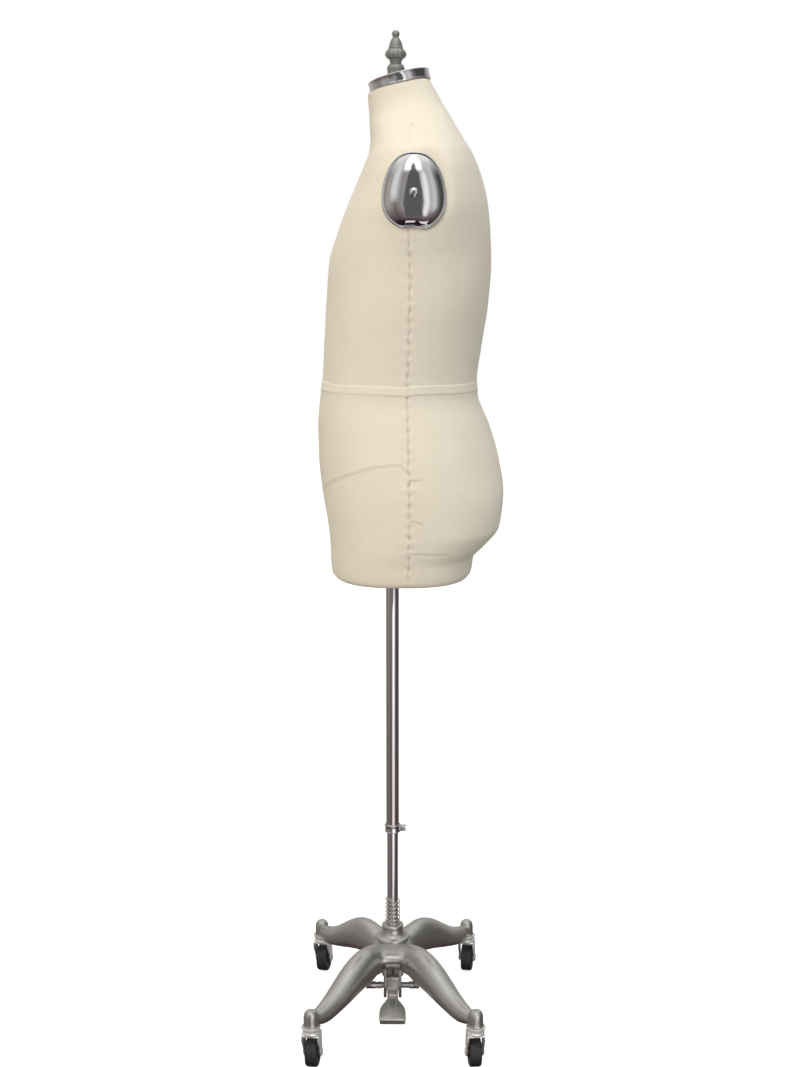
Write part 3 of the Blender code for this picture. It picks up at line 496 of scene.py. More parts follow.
def surface(points, uv=None, depth=None):
    """A grid laid on rows x columns of points, its first column welded to its last."""
    rows, columns = points.shape[0], points.shape[1]
    bm = bmesh.new()
    bmesh.ops.create_grid(bm, x_segments=columns - 1, y_segments=rows - 1, size=0.5)
    layer = bm.loops.layers.uv.new("cloth") if uv is not None else None
    # the sewn layer carries the painted shade of the linen's dents
    sewn = bm.verts.layers.float.new("sewn") if depth is not None else None
    index = {}
    for vert in bm.verts:
        index[vert] = (round((vert.co.y + 0.5) * (rows - 1)), round((vert.co.x + 0.5) * (columns - 1)))
    if layer:
        for face in bm.faces:
            for loop in face.loops:
                loop[layer].uv = uv[index[loop.vert]]
    for vert, (row, column) in index.items():
        vert.co = points[row, column]
        if sewn:
            vert[sewn] = depth[row, column]
    bmesh.ops.remove_doubles(bm, verts=bm.verts, dist=0.002 * MM)
    bmesh.ops.dissolve_degenerate(bm, edges=bm.edges, dist=0.001 * MM)
    return bm


def apply_modifiers(piece):
    seen = piece.evaluated_get(bpy.context.evaluated_depsgraph_get())
    mesh = bpy.data.meshes.new_from_object(seen)
    old = piece.data
    piece.modifiers.clear()
    piece.data = mesh
    mesh.name = piece.name
    bpy.data.meshes.remove(old)


def cut(piece, *tools, operation="DIFFERENCE"):
    """Cut away solids, or add them; a tool is a bmesh and may come with its place."""
    solids = [linked("cutter", mesh_of("cutter", *tool)) for tool in tools]
    for solid in solids:
        modifier = piece.modifiers.new("Cut", "BOOLEAN")
        modifier.operation = operation
        modifier.solver = "EXACT"
        modifier.object = solid
    apply_modifiers(piece)
    for solid in solids:
        bpy.data.objects.remove(solid)


# -------- camera, light and floor

camera_data = bpy.data.cameras.new("camera")
camera_data.lens = 51.18
camera_data.sensor_width = 36
camera = bpy.data.objects.new("camera", camera_data)
camera.location = (2.493, -0.0043, 1.252)
camera.rotation_euler = (math.radians(90 - 9.02), 0, math.radians(90))
SCENE.collection.objects.link(camera)
SCENE.camera = camera
SCENE.view_settings.view_transform = "Standard"
SCENE.view_settings.look = "None"


def studio_world():
    """White to look at; soft light comes from above, and mirrors see a plain room with lit panels."""
    world = bpy.data.worlds.new("studio")
    SCENE.world = world
    world.use_nodes = True
    tree = world.node_tree
    tree.nodes.clear()
    way = add(tree, "SeparateXYZ", {0: add(tree, "TexCoord").outputs["Generated"]}).outputs
    around = times(calc("ARCTAN2", way[1], way[0]), 180 / math.pi)
    above = times(calc("ARCSINE", way[2]), 180 / math.pi)

    def window(value, low, high, soft):
        rise = remap(value, low - soft, low + soft)
        fall = remap(value, high + soft, high - soft)
        return times(rise, fall)

    def panel(under, level, side, height, soft, tint=(1.0, 1.0, 1.0)):
        mask = times(window(around, *side, soft), window(above, *height, soft))
        return blended(mask, under, colour(*[level * part for part in tint]))

    around_stops = [(-180, 0.46), (-150, 0.52), (-118, 0.34), (-90, 0.24), (-70, 0.40), (-46, 0.32), (-34, 0.17),
                    (-22, 0.26), (-10, 0.36), (10, 0.42), (34, 0.36), (52, 0.26), (74, 0.07), (116, 0.06),
                    (134, 0.34), (156, 0.56), (180, 0.46)]
    ramp = add(tree, "ValToRGB", {"Fac": remap(around, -180, 180)})
    points = ramp.color_ramp.elements
    while len(points) > 1:
        points.remove(points[0])
    points[0].position = 0.0
    for degrees, level in around_stops:
        spot = points.new((degrees + 180) / 360) if degrees > -180 else points[0]
        spot.color = (level, level * 0.95, level * 0.91, 1)
    room = ramp.outputs[0]
    lower = blended(remap(above, -4, -24), room, blended(0.62, room, colour(0.10, 0.055, 0.060)))
    deep = blended(remap(above, -26, -52), lower, colour(0.030, 0.012, 0.016))
    ceiling = blended(remap(above, 30, 62), deep, colour(0.88, 0.87, 0.84))
    seen = panel(ceiling, 1.7, (-20, 17), (36, 84), 4)
    seen = panel(seen, 0.72, (-52, -26), (6, 70), 7, (1.0, 0.99, 0.97))
    seen = panel(seen, 0.62, (30, 50), (-16, 60), 7, (0.98, 0.97, 1.0))
    seen = panel(seen, 0.95, (13, 25), (-24, 33), 4, (1.0, 0.975, 0.98))

    def almond(wide, centre, tall, soft):
        across = calc("POWER", calc("ABSOLUTE", calc("DIVIDE", around, wide)), 1.85)
        up = calc("POWER", calc("ABSOLUTE", calc("DIVIDE", calc("SUBTRACT", above, centre), tall)), 1.85)
        return remap(plus(across, up), 1 + soft, 1 - soft)

    stand = calc("MAXIMUM", almond(12.5, 2, 36, 0.12), almond(3.2, 34, 20, 0.3))
    seen = blended(stand, seen, colour(0.105, 0.11, 0.115))
    yellow = remap(way[1], -0.9, 0.4)
    sides = blended(yellow, colour(0.80, 0.75, 0.63), colour(0.66, 0.68, 0.68))
    soft = blended(remap(way[2], 0.25, -0.75), sides, colour(0.36, 0.345, 0.32))
    paths = add(tree, "LightPath").outputs
    mirror = add(tree, "Background", {"Color": seen, "Strength": 1.0}).outputs[0]
    gentle = add(tree, "Background", {"Color": soft, "Strength": 0.80}).outputs[0]
    white = add(tree, "Background", {"Color": colour(1, 1, 1), "Strength": 1.0}).outputs[0]
    first = add(tree, "MixShader", {0: paths["Is Glossy Ray"], 1: gentle, 2: mirror}).outputs[0]
    second = add(tree, "MixShader", {0: paths["Is Camera Ray"], 1: first, 2: white}).outputs[0]
    add(tree, "OutputWorld", {"Surface": second})


def area_light(name, place, target, size, power, tint, glossy=False):
    data = bpy.data.lights.new(name, "AREA")
    data.shape = "RECTANGLE"
    data.size, data.size_y = size
    data.energy = power
    data.color = tint
    made = bpy.data.objects.new(name, data)
    made.location = place
    made.rotation_euler = (Vector(target) - Vector(place)).to_track_quat("-Z", "Y").to_euler()
    made.visible_glossy = glossy
    made.visible_diffuse = not glossy
    made.visible_camera = False
    SCENE.collection.objects.link(made)


studio_world()
area_light("front softbox", (3.1, -1.0, 2.2), (0, 0, 1.1), (1.5, 1.5), 37, (1.0, 0.985, 0.955))
area_light("front edge fill", (0.9, -3.2, 1.6), (0, 0, 1.1), (1.6, 2.2), 9, (1.0, 0.93, 0.78))
area_light("back edge fill", (0.7, 3.2, 1.8), (0, 0, 1.1), (1.6, 2.2), 12, (0.92, 0.98, 1.0))
area_light("overhead", (0.7, 0.4, 5.2), (0, 0, 0.5), (3.0, 3.0), 80, (1, 1, 1))
area_light("low reflector", (0.85, 0.31, 0.10), (-1.0, 0.31, 0.10), (0.78, 0.8), 1.5, (1.0, 0.95, 0.96),
           glossy=True)
area_light("far side fill", (-3.0, -0.5, 1.9), (0, 0, 1.0), (1.8, 1.8), 16, (1, 1, 1))
area_light("base spot", (1.7, -0.25, 1.5), (0.05, 0, 0.12), (0.5, 0.5), 4.5, (1, 0.99, 0.97))


def pale_floor():
    """A plain floor, bright enough to run into the backdrop; only a faint shadow is left on it."""
    bm = bmesh.new()
    bmesh.ops.create_grid(bm, x_segments=4, y_segments=4, size=14)
    made, shader, place = new_finish("pale_floor", Specular_IOR_Level=0.0, Emission_Color=colour(1, 1, 1))
    tone = blended(noise(place, 3.0, 3.0, 0.5), colour(0.93, 0.93, 0.93), colour(0.90, 0.90, 0.895))
    own_light = times(add(made.node_tree, "LightPath").outputs["Is Camera Ray"], 0.66)
    feed(shader, Base_Color=tone, Roughness=0.9, Emission_Strength=own_light)
    floor = linked("floor", mesh_of("floor", bm))
    floor.data.materials.append(made)
    floor.visible_glossy = False
    floor.visible_diffuse = False


pale_floor()


# -------- torso

# height at the mast's axis, tilt in degrees, front and back in Y, half width, all from the mast's axis in mm
TORSO_SECTIONS = [(1571, 13.5, -38.5, 59, 55), (1550, 12, -37, 71, 58), (1533, 10, -35.5, 81, 66),
                  (1516, 9, -35, 91, 92), (1498, 8, -34, 101, 128), (1478, 6, -36, 114, 168),
                  (1458, 5, -43, 127, 199), (1425, 3, -56, 142, 214), (1385, 1, -73, 153, 215),
                  (1344, 0, -88, 157.5, 203), (1300, 0, -101, 159, 190), (1235, 0, -106, 155, 182),
                  (1165, 0, -110, 144, 169), (1111, 0, -114, 138, 161.5), (1088, 0, -117, 140, 160),
                  (1040, 0, -121, 159, 168), (985, 0, -120, 174.5, 177), (930, 0, -114, 183, 181),
                  (878, 0, -105.5, 177, 180), (848, 0, -102.5, 153, 177), (831, 0, -102, 136, 174),
                  (803, 0, -99.5, 130, 171), (797.5, 0, -95, 126, 167.5)]
ARM_PLANE_X, ARM_CENTRE = 200, Vector((0, 33, 1396))
ARM_TILT = math.radians(4)
HEM_UNDERSIDE = 796.3
SEAM_Y = 26
STITCH_STEP, STITCH_LENGTH = 16.5, 5.2
COLUMNS = 130
RING_SAMPLES = 720


def unit(values):
    return np.clip(values, 0, 1)


def eased_table(heights):
    """The sections' values at any heights, joined by a curve that never overshoots them."""
    table = np.array(TORSO_SECTIONS[::-1], float)
    known, values = table[:, 0], table[:, 1:]
    steps = np.diff(known)[:, None]
    slopes = np.diff(values, axis=0) / steps
    before, after, h0, h1 = slopes[:-1], slopes[1:], steps[:-1], steps[1:]
    weighted = (2 * h1 + h0) * after + (h1 + 2 * h0) * before
    eased = np.abs(3 * (h0 + h1) * before * after / np.where(weighted == 0, 1, weighted))
    eased = np.sign(after) * np.minimum(eased, 3 * np.minimum(np.abs(before), np.abs(after)))
    tangents = np.vstack([slopes[:1], np.where(before * after > 0, eased, 0), slopes[-1:]])
    place = np.clip(np.searchsorted(known, heights) - 1, 0, len(known) - 2)
    h = steps[place]
    t = (heights - known[place])[:, None] / h
    return (values[place] * (2 * t ** 3 - 3 * t ** 2 + 1) + tangents[place] * h * (t ** 3 - 2 * t ** 2 + t)
            + values[place + 1] * (3 * t ** 2 - 2 * t ** 3) + tangents[place + 1] * h * (t ** 3 - t ** 2))


def smooth_least(values, limit, soft):
    near = np.maximum(soft - np.abs(values - limit), 0) / soft
    return np.minimum(values, limit) - near ** 2 * soft / 4


def torso_rings(heights):
    """Dense closed rings of the form at these heights, from the mast's axis, in mm."""
    tilt, front, back, half_width = eased_table(heights).T[:, :, None]
    round_off = unit((960 - heights) / 130)[:, None]
    power = 2 / (2.25 + 0.35 * round_off)
    angle = (np.arange(RING_SAMPLES) / RING_SAMPLES * 2 * math.pi)[None, :]
    x = np.sign(np.cos(angle)) * np.abs(np.cos(angle)) ** power * half_width
    y = (front + back) / 2 + np.sign(np.sin(angle)) * np.abs(np.sin(angle)) ** power * (back - front) / 2
    z = heights[:, None] + y * np.tan(np.radians(tilt))
    limit = ARM_PLANE_X - (z - ARM_CENTRE.z) * math.tan(ARM_TILT)
    x = np.sign(x) * smooth_least(np.abs(x), limit, 9.0)
    return np.stack([x, y, z], axis=2)


def seam_at(height):
    return SEAM_Y + 1.2 * math.sin(height / 61)


def resampled(ring, seam_y):
    """Columns along one ring: right seam, front, left seam, back, and closer together near the seams."""
    closed = np.vstack([ring, ring[:1]])
    lengths = np.concatenate([[0], np.cumsum(np.linalg.norm(np.diff(closed, axis=0), axis=1))])
    total = lengths[-1]
    left = np.interp(seam_y, ring[-RING_SAMPLES // 4:, 1].tolist() + ring[:RING_SAMPLES // 4, 1].tolist(),
                     (lengths[RING_SAMPLES * 3 // 4:-1] - total).tolist() + lengths[:RING_SAMPLES // 4].tolist())
    half = slice(RING_SAMPLES // 4, RING_SAMPLES * 3 // 4)
    right = np.interp(-seam_y, -ring[half, 1], lengths[half])
    t = np.arange(COLUMNS + 1) / COLUMNS
    spaced = t - 0.8 * np.sin(2 * math.pi * t) / (2 * math.pi)
    back_half = left + (right - left) * spaced
    front_half = right + (left + total - right) * spaced
    places = np.concatenate([back_half, front_half[1:]])
    spots = np.stack([np.interp(places % total, lengths, closed[:, i]) for i in range(3)], axis=1)
    from_left = places - left
    to_seam = np.minimum(from_left, total - from_left)
    from_right = np.abs(from_left - (right - left))
    near = np.minimum(to_seam, from_right)
    front = np.concatenate([np.zeros(COLUMNS + 1), np.ones(COLUMNS)])
    front_length = left + total - right
    return spots, near, front, from_left, np.full(len(places), front_length)


# heights of the sewn lines and of the hem, in mm
SIDE_SEAM_TOP, SHOULDER_SEAM_LOW, SHOULDER_SEAM_TOP = 1350, 1462, 1522
NECK_SEAM, ABDOMEN_SEAM, THIGH_SEAM, HEM = 1502, 989, 852, 797


def bell(values, width):
    return np.exp(-(values / width) ** 2)


def sewing(z, near, front, front_length, side_sign):
    """How far the linen stands out of its smooth shape, in mm, and how dark each spot is: painted shade in the
    dents of its seams, stitch dimples and folds, and a darkened pin mark.
    """
    signed = np.where(front > 0.5, -near, near)
    below_plate = unit((SIDE_SEAM_TOP - z) / 8) * unit((z - HEM) / 6)
    wobble = 1.1 * np.sin(z * math.pi / STITCH_STEP) + 0.8 * np.sin(z / 47.0)
    off = signed - wobble * below_plate
    relief = (-0.8 * bell(off, 1.6) + 0.35 * bell(np.abs(off) - 4.4, 2.4)) * below_plate
    # painted shade in the side seam's groove
    dark = 0.12 * bell(off, 1.7) * below_plate
    cell = z / STITCH_STEP + 0.3 * side_sign
    number = np.floor(cell)
    within = (cell - number - 0.5) * STITCH_STEP
    lean = np.where(number % 2 > 0.5, 2.2, -1.6)
    strength = 0.75 + 0.3 * np.sin(number * 2.4) + 0.15 * np.sin(number * 5.1)
    slanted = off - lean * 0.5 + within * np.where(number % 3 > 1.5, 0.5, -0.35)
    pinch = bell(slanted, 1.9) * bell(within, 3.4) * strength * below_plate
    relief += -1.5 * pinch
    # painted shade in the stitch dimples
    dark = dark + 0.62 * pinch
    relief += 0.5 * bell(off, 9.0) * np.cos(2 * math.pi * (cell - 0.5)) * -1 * below_plate
    shoulder = unit((z - SHOULDER_SEAM_LOW) / 8) * unit((SHOULDER_SEAM_TOP - z) / 6)
    relief += shoulder * (-0.35 * bell(signed, 1.3) + 0.12 * bell(np.abs(signed) - 3.4, 1.8))
    # painted shade in the shoulder seam's groove
    dark = dark + shoulder * 0.03 * bell(signed, 1.4)
    front_side = (front > 0.5) * unit(near / 2)
    along_front = unit(near / (front_length / 2))
    bend = along_front - 0.17
    falling = 83 * ((bend + np.sqrt(bend ** 2 + 0.004)) / 2 - 0.0057)
    abdomen = z - (ABDOMEN_SEAM - falling - 10 * bell(near, 7.0))
    relief += front_side * (-1.0 * bell(abdomen, 1.6) + 0.55 * bell(abdomen - 4.5, 3.0))
    # painted shade in the abdomen seam's groove
    dark = dark + front_side * 0.38 * bell(abdomen, 1.4)
    back = (front < 0.5) * unit(near / 2)
    thigh = z - (THIGH_SEAM - 0.05 * near)
    reach = unit((68 - near) / 14)
    relief += back * reach * (-0.8 * bell(thigh, 1.6) + 0.35 * bell(thigh - 4, 2.2))
    # painted shade in the thigh seam's groove
    dark = dark + back * reach * 0.26 * bell(thigh, 1.4)
    for height, length, slope, depth, width in ((966, 24, 0.05, 1.1, 2.4), (953, 20, 0.02, -0.6, 3.2),
                                                (905, 26, -0.30, 1.1, 2.0), (1012, 12, -0.2, 0.4, 2.0)):
        fold = bell(z - (height + slope * near), width) * unit((length - near) / 9) * back
        relief += -depth * fold
        # painted shade in the folds that press in
        dark = dark + 0.3 * max(depth, 0) * fold
    neck_line = NECK_SEAM + np.where(front > 0.5, -0.10, 0.10) * near
    neck = bell(z - neck_line, 1.4) * np.where(front > 0.5, 0.3, 1.0)
    relief += -0.5 * neck
    pin = (front < 0.5) * bell(near - 5.0, 2.0) * bell(z - NECK_SEAM, 2.0)
    relief += -0.8 * pin
    # painted shade in the neck seam's groove, and the pin mark darkened in its dent
    dark = dark + 0.07 * neck + 0.8 * pin
    middle = bell(near - front_length / 2, 1.3) * (front > 0.5) * unit((z - 800) / 6)
    relief += -0.55 * middle
    # painted shade in the groove down the middle of the front
    dark = dark + 0.12 * middle
    return relief, unit(dark)


SLEEVE_RADIUS = 13.0     # the hole that the mast slides and turns in, in mm


def torso():
    """The padded linen body, turned in under the hem and the neck plate and down a sleeve round the mast."""
    body = np.concatenate([np.linspace(1571, 1462, 46), np.linspace(1459, 1356, 30), np.linspace(1353.5, 1115, 92),
                           np.linspace(1113, 1084, 13), np.linspace(1081.5, 974, 42), np.linspace(972.5, 905, 40),
                           np.linspace(903, 797.5, 46)])
    rows, uv, reliefs, darker = [], [], [], []
    for ring in torso_rings(body):
        spots, near, front, from_left, front_length = resampled(ring, seam_at(ring[0, 2]))
        relief, dark = sewing(spots[:, 2], near, front, front_length, np.where(spots[:, 0] > 0, 1.0, 0.0))
        reliefs.append(relief)
        # darker holds the painted shade of the linen's dents
        darker.append(dark)
        rows.append(spots)
        uv.append(np.stack([from_left * MM, spots[:, 2] * MM], axis=1))
    rows, reliefs, darker, uv = np.array(rows), np.array(reliefs), np.array(darker), np.array(uv)
    across = np.roll(rows[:, :-1], -1, axis=1) - np.roll(rows[:, :-1], 1, axis=1)
    across = np.concatenate([across, across[:, :1]], axis=1)
    down = np.gradient(rows, axis=0)
    normals = np.cross(down, across)
    normals /= np.linalg.norm(normals, axis=2, keepdims=True) + 1e-12
    middle = np.array([0, 30, 0])
    outwards = np.sign(np.sum(normals * (rows - middle) * np.array([1, 1, 0]), axis=2))
    normals *= np.where(outwards == 0, 1, outwards)[:, :, None]
    z, x, y = rows[:, :, 2], rows[:, :, 0], rows[:, :, 1]
    slow = 0.45 * np.sin(x / 37 + z / 83) * np.sin(y / 41 - z / 59) + 0.3 * np.sin(z / 23 + y / 19) * np.sin(x / 29)
    slow *= unit((z - 800) / 25) * unit((1560 - z) / 25)
    rows = rows + normals * (reliefs + slow)[:, :, None]
    low = rows[-1]
    centre = np.array([0.0, 15.0, 0.0])
    under, under_uv = [], []
    for scale, height in ((0.985, 796.6), (0.965, HEM_UNDERSIDE), (0.93, HEM_UNDERSIDE + 0.3),
                          (0.6, HEM_UNDERSIDE + 0.5)):
        ring = centre + (low - centre) * scale
        ring[:, 2] = height
        under.append(ring)
        under_uv.append(ring[:, :2] * MM)
    sleeve = SLEEVE_RADIUS * low / np.linalg.norm(low[:, :2], axis=1, keepdims=True)
    neck_centre = rows[0].mean(axis=0)
    for height in (HEM_UNDERSIDE + 0.6, neck_centre[2] - 5.0):
        ring = sleeve.copy()
        ring[:, 2] = height
        under.append(ring)
        under_uv.append(ring[:, :2] * MM)
    top = [under[-1]]
    for scale, drop in ((0.6, 4.0), (0.95, 2.0)):
        top.append(neck_centre + (rows[0] - neck_centre) * scale - np.array([0, 0, drop]))
    points = np.concatenate([top, rows, under]) * MM
    maps = np.concatenate([[uv[0]] * len(top), uv, under_uv])
    # the painted shade of the dents, none on the rows of the neck top, the hem's underside and the sleeve
    sewn = np.concatenate([np.zeros_like(reliefs[:3]), darker, np.zeros_like(reliefs[:6])])
    cover = finished("linen_body", surface(points, maps, sewn), LINEN, "form", "linen_cover")


torso()


def waist_tape():
    """A flat tape sewn round the waist; its long edges are turned and stitched."""
    heights = np.array([1110.7, 1110.0, 1107.0, 1103.5, 1100.0, 1096.2, 1095.4])
    stand = np.array([-0.1, 0.55, 0.65, 0.45, 0.6, 0.7, -0.1])
    outer, inner, uv = [], [], []
    for ring, lift in zip(torso_rings(heights), stand):
        spots, _, _, from_left, _ = resampled(ring, SEAM_Y)
        spots, from_left = spots[::2], from_left[::2]
        flat = spots - np.array([0, 25, 0])
        flat[:, 2] = 0
        flat /= np.linalg.norm(flat, axis=1, keepdims=True)
        sag = 0.8 * np.sin(from_left / 55) + 0.5 * np.sin(from_left / 19)
        moved = spots + flat * (lift + 0.25 * np.sin(from_left / 7.0))[:, None]
        moved[:, 2] += sag
        outer.append(moved)
        inside = spots - flat * 0.7
        inside[:, 2] += sag
        inner.append(inside)
        uv.append(np.stack([from_left * MM, spots[:, 2] * MM], axis=1))
    points = np.array(outer + inner[::-1] + outer[:1]) * MM
    maps = np.array(uv + uv[::-1] + uv[:1])
    tape = finished("waist_tape_band", surface(points, maps), TAPE, "form", "waist_tape")


waist_tape()


def thread_stitch(length, radius=0.32):
    bm = bmesh.new()
    bmesh.ops.create_uvsphere(bm, u_segments=8, v_segments=6, radius=radius * MM)
    for vert in bm.verts:
        vert.co.z *= length / (2 * radius)
        vert.co.x *= 1.25
    return bm


def stitches():
    """Hand stitches that lean across each side seam."""
    parts = []
    heights = np.arange(806, 1340, STITCH_STEP)
    for ring, height in zip(torso_rings(heights), heights):
        spots = resampled(ring, seam_at(height))[0]
        for column, side in ((0, 1), (COLUMNS, -1)):
            lean = 24 if round(height / STITCH_STEP) % 2 else -20
            place = at(*spots[column]) @ at(-0.75 * side, 0, 0) @ turn_about("X", lean * side)
            parts.append((thread_stitch(STITCH_LENGTH), place))
    finished("side_seam_stitches", gathered(*parts), THREAD, "form")


stitches()


# -------- arm plates

EGG_POINTS = 112


def egg_ring(scale, height, lift=0.0):
    """The arm plate's outline: a round top, fuller lower down, its bottom nearly flat with a slight wave."""
    angle = np.arange(EGG_POINTS + 1) / EGG_POINTS * 2 * math.pi
    across, up = np.cos(angle), np.sin(angle)
    y = 57 * np.sign(up) * np.abs(up) ** np.where(up < 0, 0.8, 1.0) * np.where(up < 0, 0.92, 1.06)
    x = 48 * np.sign(across) * np.abs(across) ** np.where(up < 0, 1.0, 0.78) * (1 - 0.10 * up) * 0.99
    low = unit(-up) ** 3
    y = y + low * (2.0 * np.cos(x / 8.0) - 0.8 * np.sin(x / 15.0))
    return np.stack([x * scale, y * scale, np.full_like(x, height) + lift * low], axis=1)


def arm_plates():
    rise = [(0.97, 0.3, 0), (0.995, 0.4, 0), (1.0, 1.2, 0), (1.0, 3.0, 0), (0.995, 4.2, 0), (0.983, 4.9, 0),
            (0.968, 5.0, 0), (0.955, 4.5, 0), (0.945, 4.0, -0.2), (0.932, 4.1, -0.5), (0.915, 4.9, -0.7),
            (0.885, 6.2, -0.6), (0.84, 8.0, -0.2), (0.78, 9.9, 0), (0.71, 11.6, 0), (0.63, 13.1, 0),
            (0.54, 14.4, 0), (0.44, 15.4, 0), (0.33, 16.2, 0), (0.22, 16.7, 0), (0.1, 16.95, 0), (0.0, 17.0, 0),
            (0.0, 15.4, 0), (0.33, 14.6, 0), (0.6, 11.6, 0), (0.84, 6.4, 0), (0.92, 2.6, 0), (0.96, 1.2, 0),
            (0.97, 0.3, 0)]
    screw = [(0, 20.4), (2.6, 20.2), (4.8, 19.4), (6.4, 18.2), (7.0, 17.2), (6.8, 16.6), (4.5, 16.4), (3.5, 16.2),
             (3.5, -25), (0, -25)]
    for side, word in ((1, "left"), (-1, "right")):
        outwards = Vector((side * math.cos(ARM_TILT), 0, math.sin(ARM_TILT)))
        up = Vector((-side * math.sin(ARM_TILT), 0, math.cos(ARM_TILT)))
        along = up.cross(outwards)
        turned = Matrix((along, up, outwards)).transposed().to_4x4()
        place = ON_MAST @ at(side * ARM_PLANE_X, ARM_CENTRE.y, ARM_CENTRE.z) @ turned
        points = np.array([egg_ring(*row) for row in rise]) * MM
        finished(word + "_arm_cap", surface(points), CHROME, "form", word + "_arm_plate", place=place)
        finished(word + "_arm_nut", spun(screw, 40, 0.3), CHROME, "form", word + "_arm_screw", place=place)


arm_plates()


# -------- neck and finial

NECK_TILT = math.radians(13.5)
NECK_MIDDLE_Y = 10
NECK_TOP = 1588
FINIAL_Y = 6


def neck_ring(half_width, half_depth, under, middle_y=NECK_MIDDLE_Y, count=96):
    """An oval ring in the tilted plane of the neck, at a depth under its top edge."""
    angle = np.arange(count + 1) / count * 2 * math.pi
    centre = np.array([0, middle_y, NECK_TOP + middle_y * math.tan(NECK_TILT)])
    along = np.array([0, math.cos(NECK_TILT), math.sin(NECK_TILT)])
    down = np.array([0, math.sin(NECK_TILT), -math.cos(NECK_TILT)])
    wide = np.array([1.0, 0, 0])
    return (centre + wide * (half_width * np.cos(angle))[:, None] + along * (half_depth * np.sin(angle))[:, None]
            + down * under)


def neck():
    width, depth = 56, 49.5
    shape = [(-2.4, 0.2), (-1.8, -0.25), (-1.0, -0.3), (-0.3, 0.1), (0, 0.9), (-0.15, 1.8), (-0.5, 2.4),
             (-0.45, 7.0), (-0.35, 12.0), (-0.3, 13.4), (0.05, 14.1), (0.1, 14.9), (-0.3, 15.5), (-1.2, 15.7),
             (-2.2, 15.5), (-2.4, 0.2)]
    band = np.array([neck_ring(width + x, depth + x, under) for x, under in shape]) * MM
    finished("neck_trim", surface(band), CHROME, "form", "neck_band")
    lid = [(0, 4.6), (0.6, 4.6), (0.99, 4.4), (1.0, 3.9), (1.0, 1.2), (0.985, 0.6), (0.96, 0.5), (0.93, 0.9),
           (0.90, 1.0), (0.6, 0.7), (0.36, 0.6)]
    rows = [neck_ring((width - 2.6) * s, (depth - 2.6) * s, under, NECK_MIDDLE_Y - (1 - s) * 4) for s, under in lid]
    rows += [neck_ring(r, r, under, FINIAL_Y) for r, under in ((16.4, 0.5), (15.8, 0.1), (15.6, -1.2), (15.1, -1.8),
                                                               (14.2, -1.9), (5, -1.9), (0, -1.9))]
    finished("neck_lid", surface(np.array(rows) * MM), PEWTER, "form", "neck_cap")


def finial():
    """Turned knob with a reeded bulge, on a foot that is cut to the slope of the neck."""
    profile = [(0, 1661), (2.2, 1660.8), (4.2, 1659.6), (5.7, 1657.6), (6.2, 1655.3), (5.7, 1652.9), (4.9, 1651.2),
               (4.7, 1649.8), (6.0, 1648.4), (7.6, 1645.8), (9.0, 1642.6), (10.2, 1638.8), (11.2, 1634.8),
               (11.5, 1633.8), (11.9, 1633.3), (11.5, 1632.6), (11.7, 1631.9), (13.2, 1631.0), (15.2, 1629.0),
               (16.6, 1626.4), (17.0, 1624.0), (16.7, 1621.8), (15.4, 1619.6), (13.2, 1617.8), (11.0, 1616.9),
               (10.5, 1616.2), (10.1, 1615.4), (10.4, 1614.6), (9.3, 1613.4), (9.0, 1611.4), (9.5, 1609.6),
               (10.6, 1608.6), (11.6, 1608.0), (12.8, 1606.2), (13.7, 1604.2), (14.0, 1602.4), (13.6, 1600.6),
               (13.4, 1599.0), (13.3, 1596), (13.3, 1585), (0, 1585)]
    bm = spun(profile, 96, 0)
    slope = math.tan(NECK_TILT)
    for vert in bm.verts:
        radius, height = math.hypot(vert.co.x, vert.co.y) / MM, vert.co.z / MM
        around = math.atan2(vert.co.y, vert.co.x)
        bulge = max(0.0, 1 - ((height - 1624.3) / 6.6) ** 2)
        if bulge > 0 and radius > 12:
            depth = 1 - 0.075 * bulge * (0.5 - 0.5 * math.cos(12 * around)) ** 0.6
            vert.co.x *= depth
            vert.co.y *= depth
        if height < 1600:
            lowest = NECK_TOP + (FINIAL_Y + vert.co.y / MM) * slope + 2.0
            vert.co.z = max(vert.co.z, lowest * MM)
    finished("finial_knob", bm, PEWTER, "form", "finial", place=ON_MAST @ at(0, FINIAL_Y, 0), sharp=50)


neck()
finial()


# -------- mast, post and what rides on them

def extent(node):
    """The radius, the bottom and the top of a round CAD node, in mm."""
    low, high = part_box(node)
    return (high.x - low.x) / MM / 2, low.z / MM, high.z / MM


def tube(name, body, node, wall):
    """A chrome tube as high and as wide as its CAD node, with its own wall in mm."""
    radius, bottom, top = extent(node)
    profile = [(radius, top), (radius, bottom), (radius - wall, bottom), (radius - wall, top)]
    finished(name, spun(profile, 96, 0.4), TUBE_CHROME, body, node)


def bumper_spring():
    wire = 1.1
    radius, bottom, top = extent("bumper_spring")
    coil = wound(wire, radius - wire, 6, 30, 12, bottom + wire, top - bottom - 2 * wire)
    finished("rest_spring", coil, SPRING, "base", "bumper_spring")


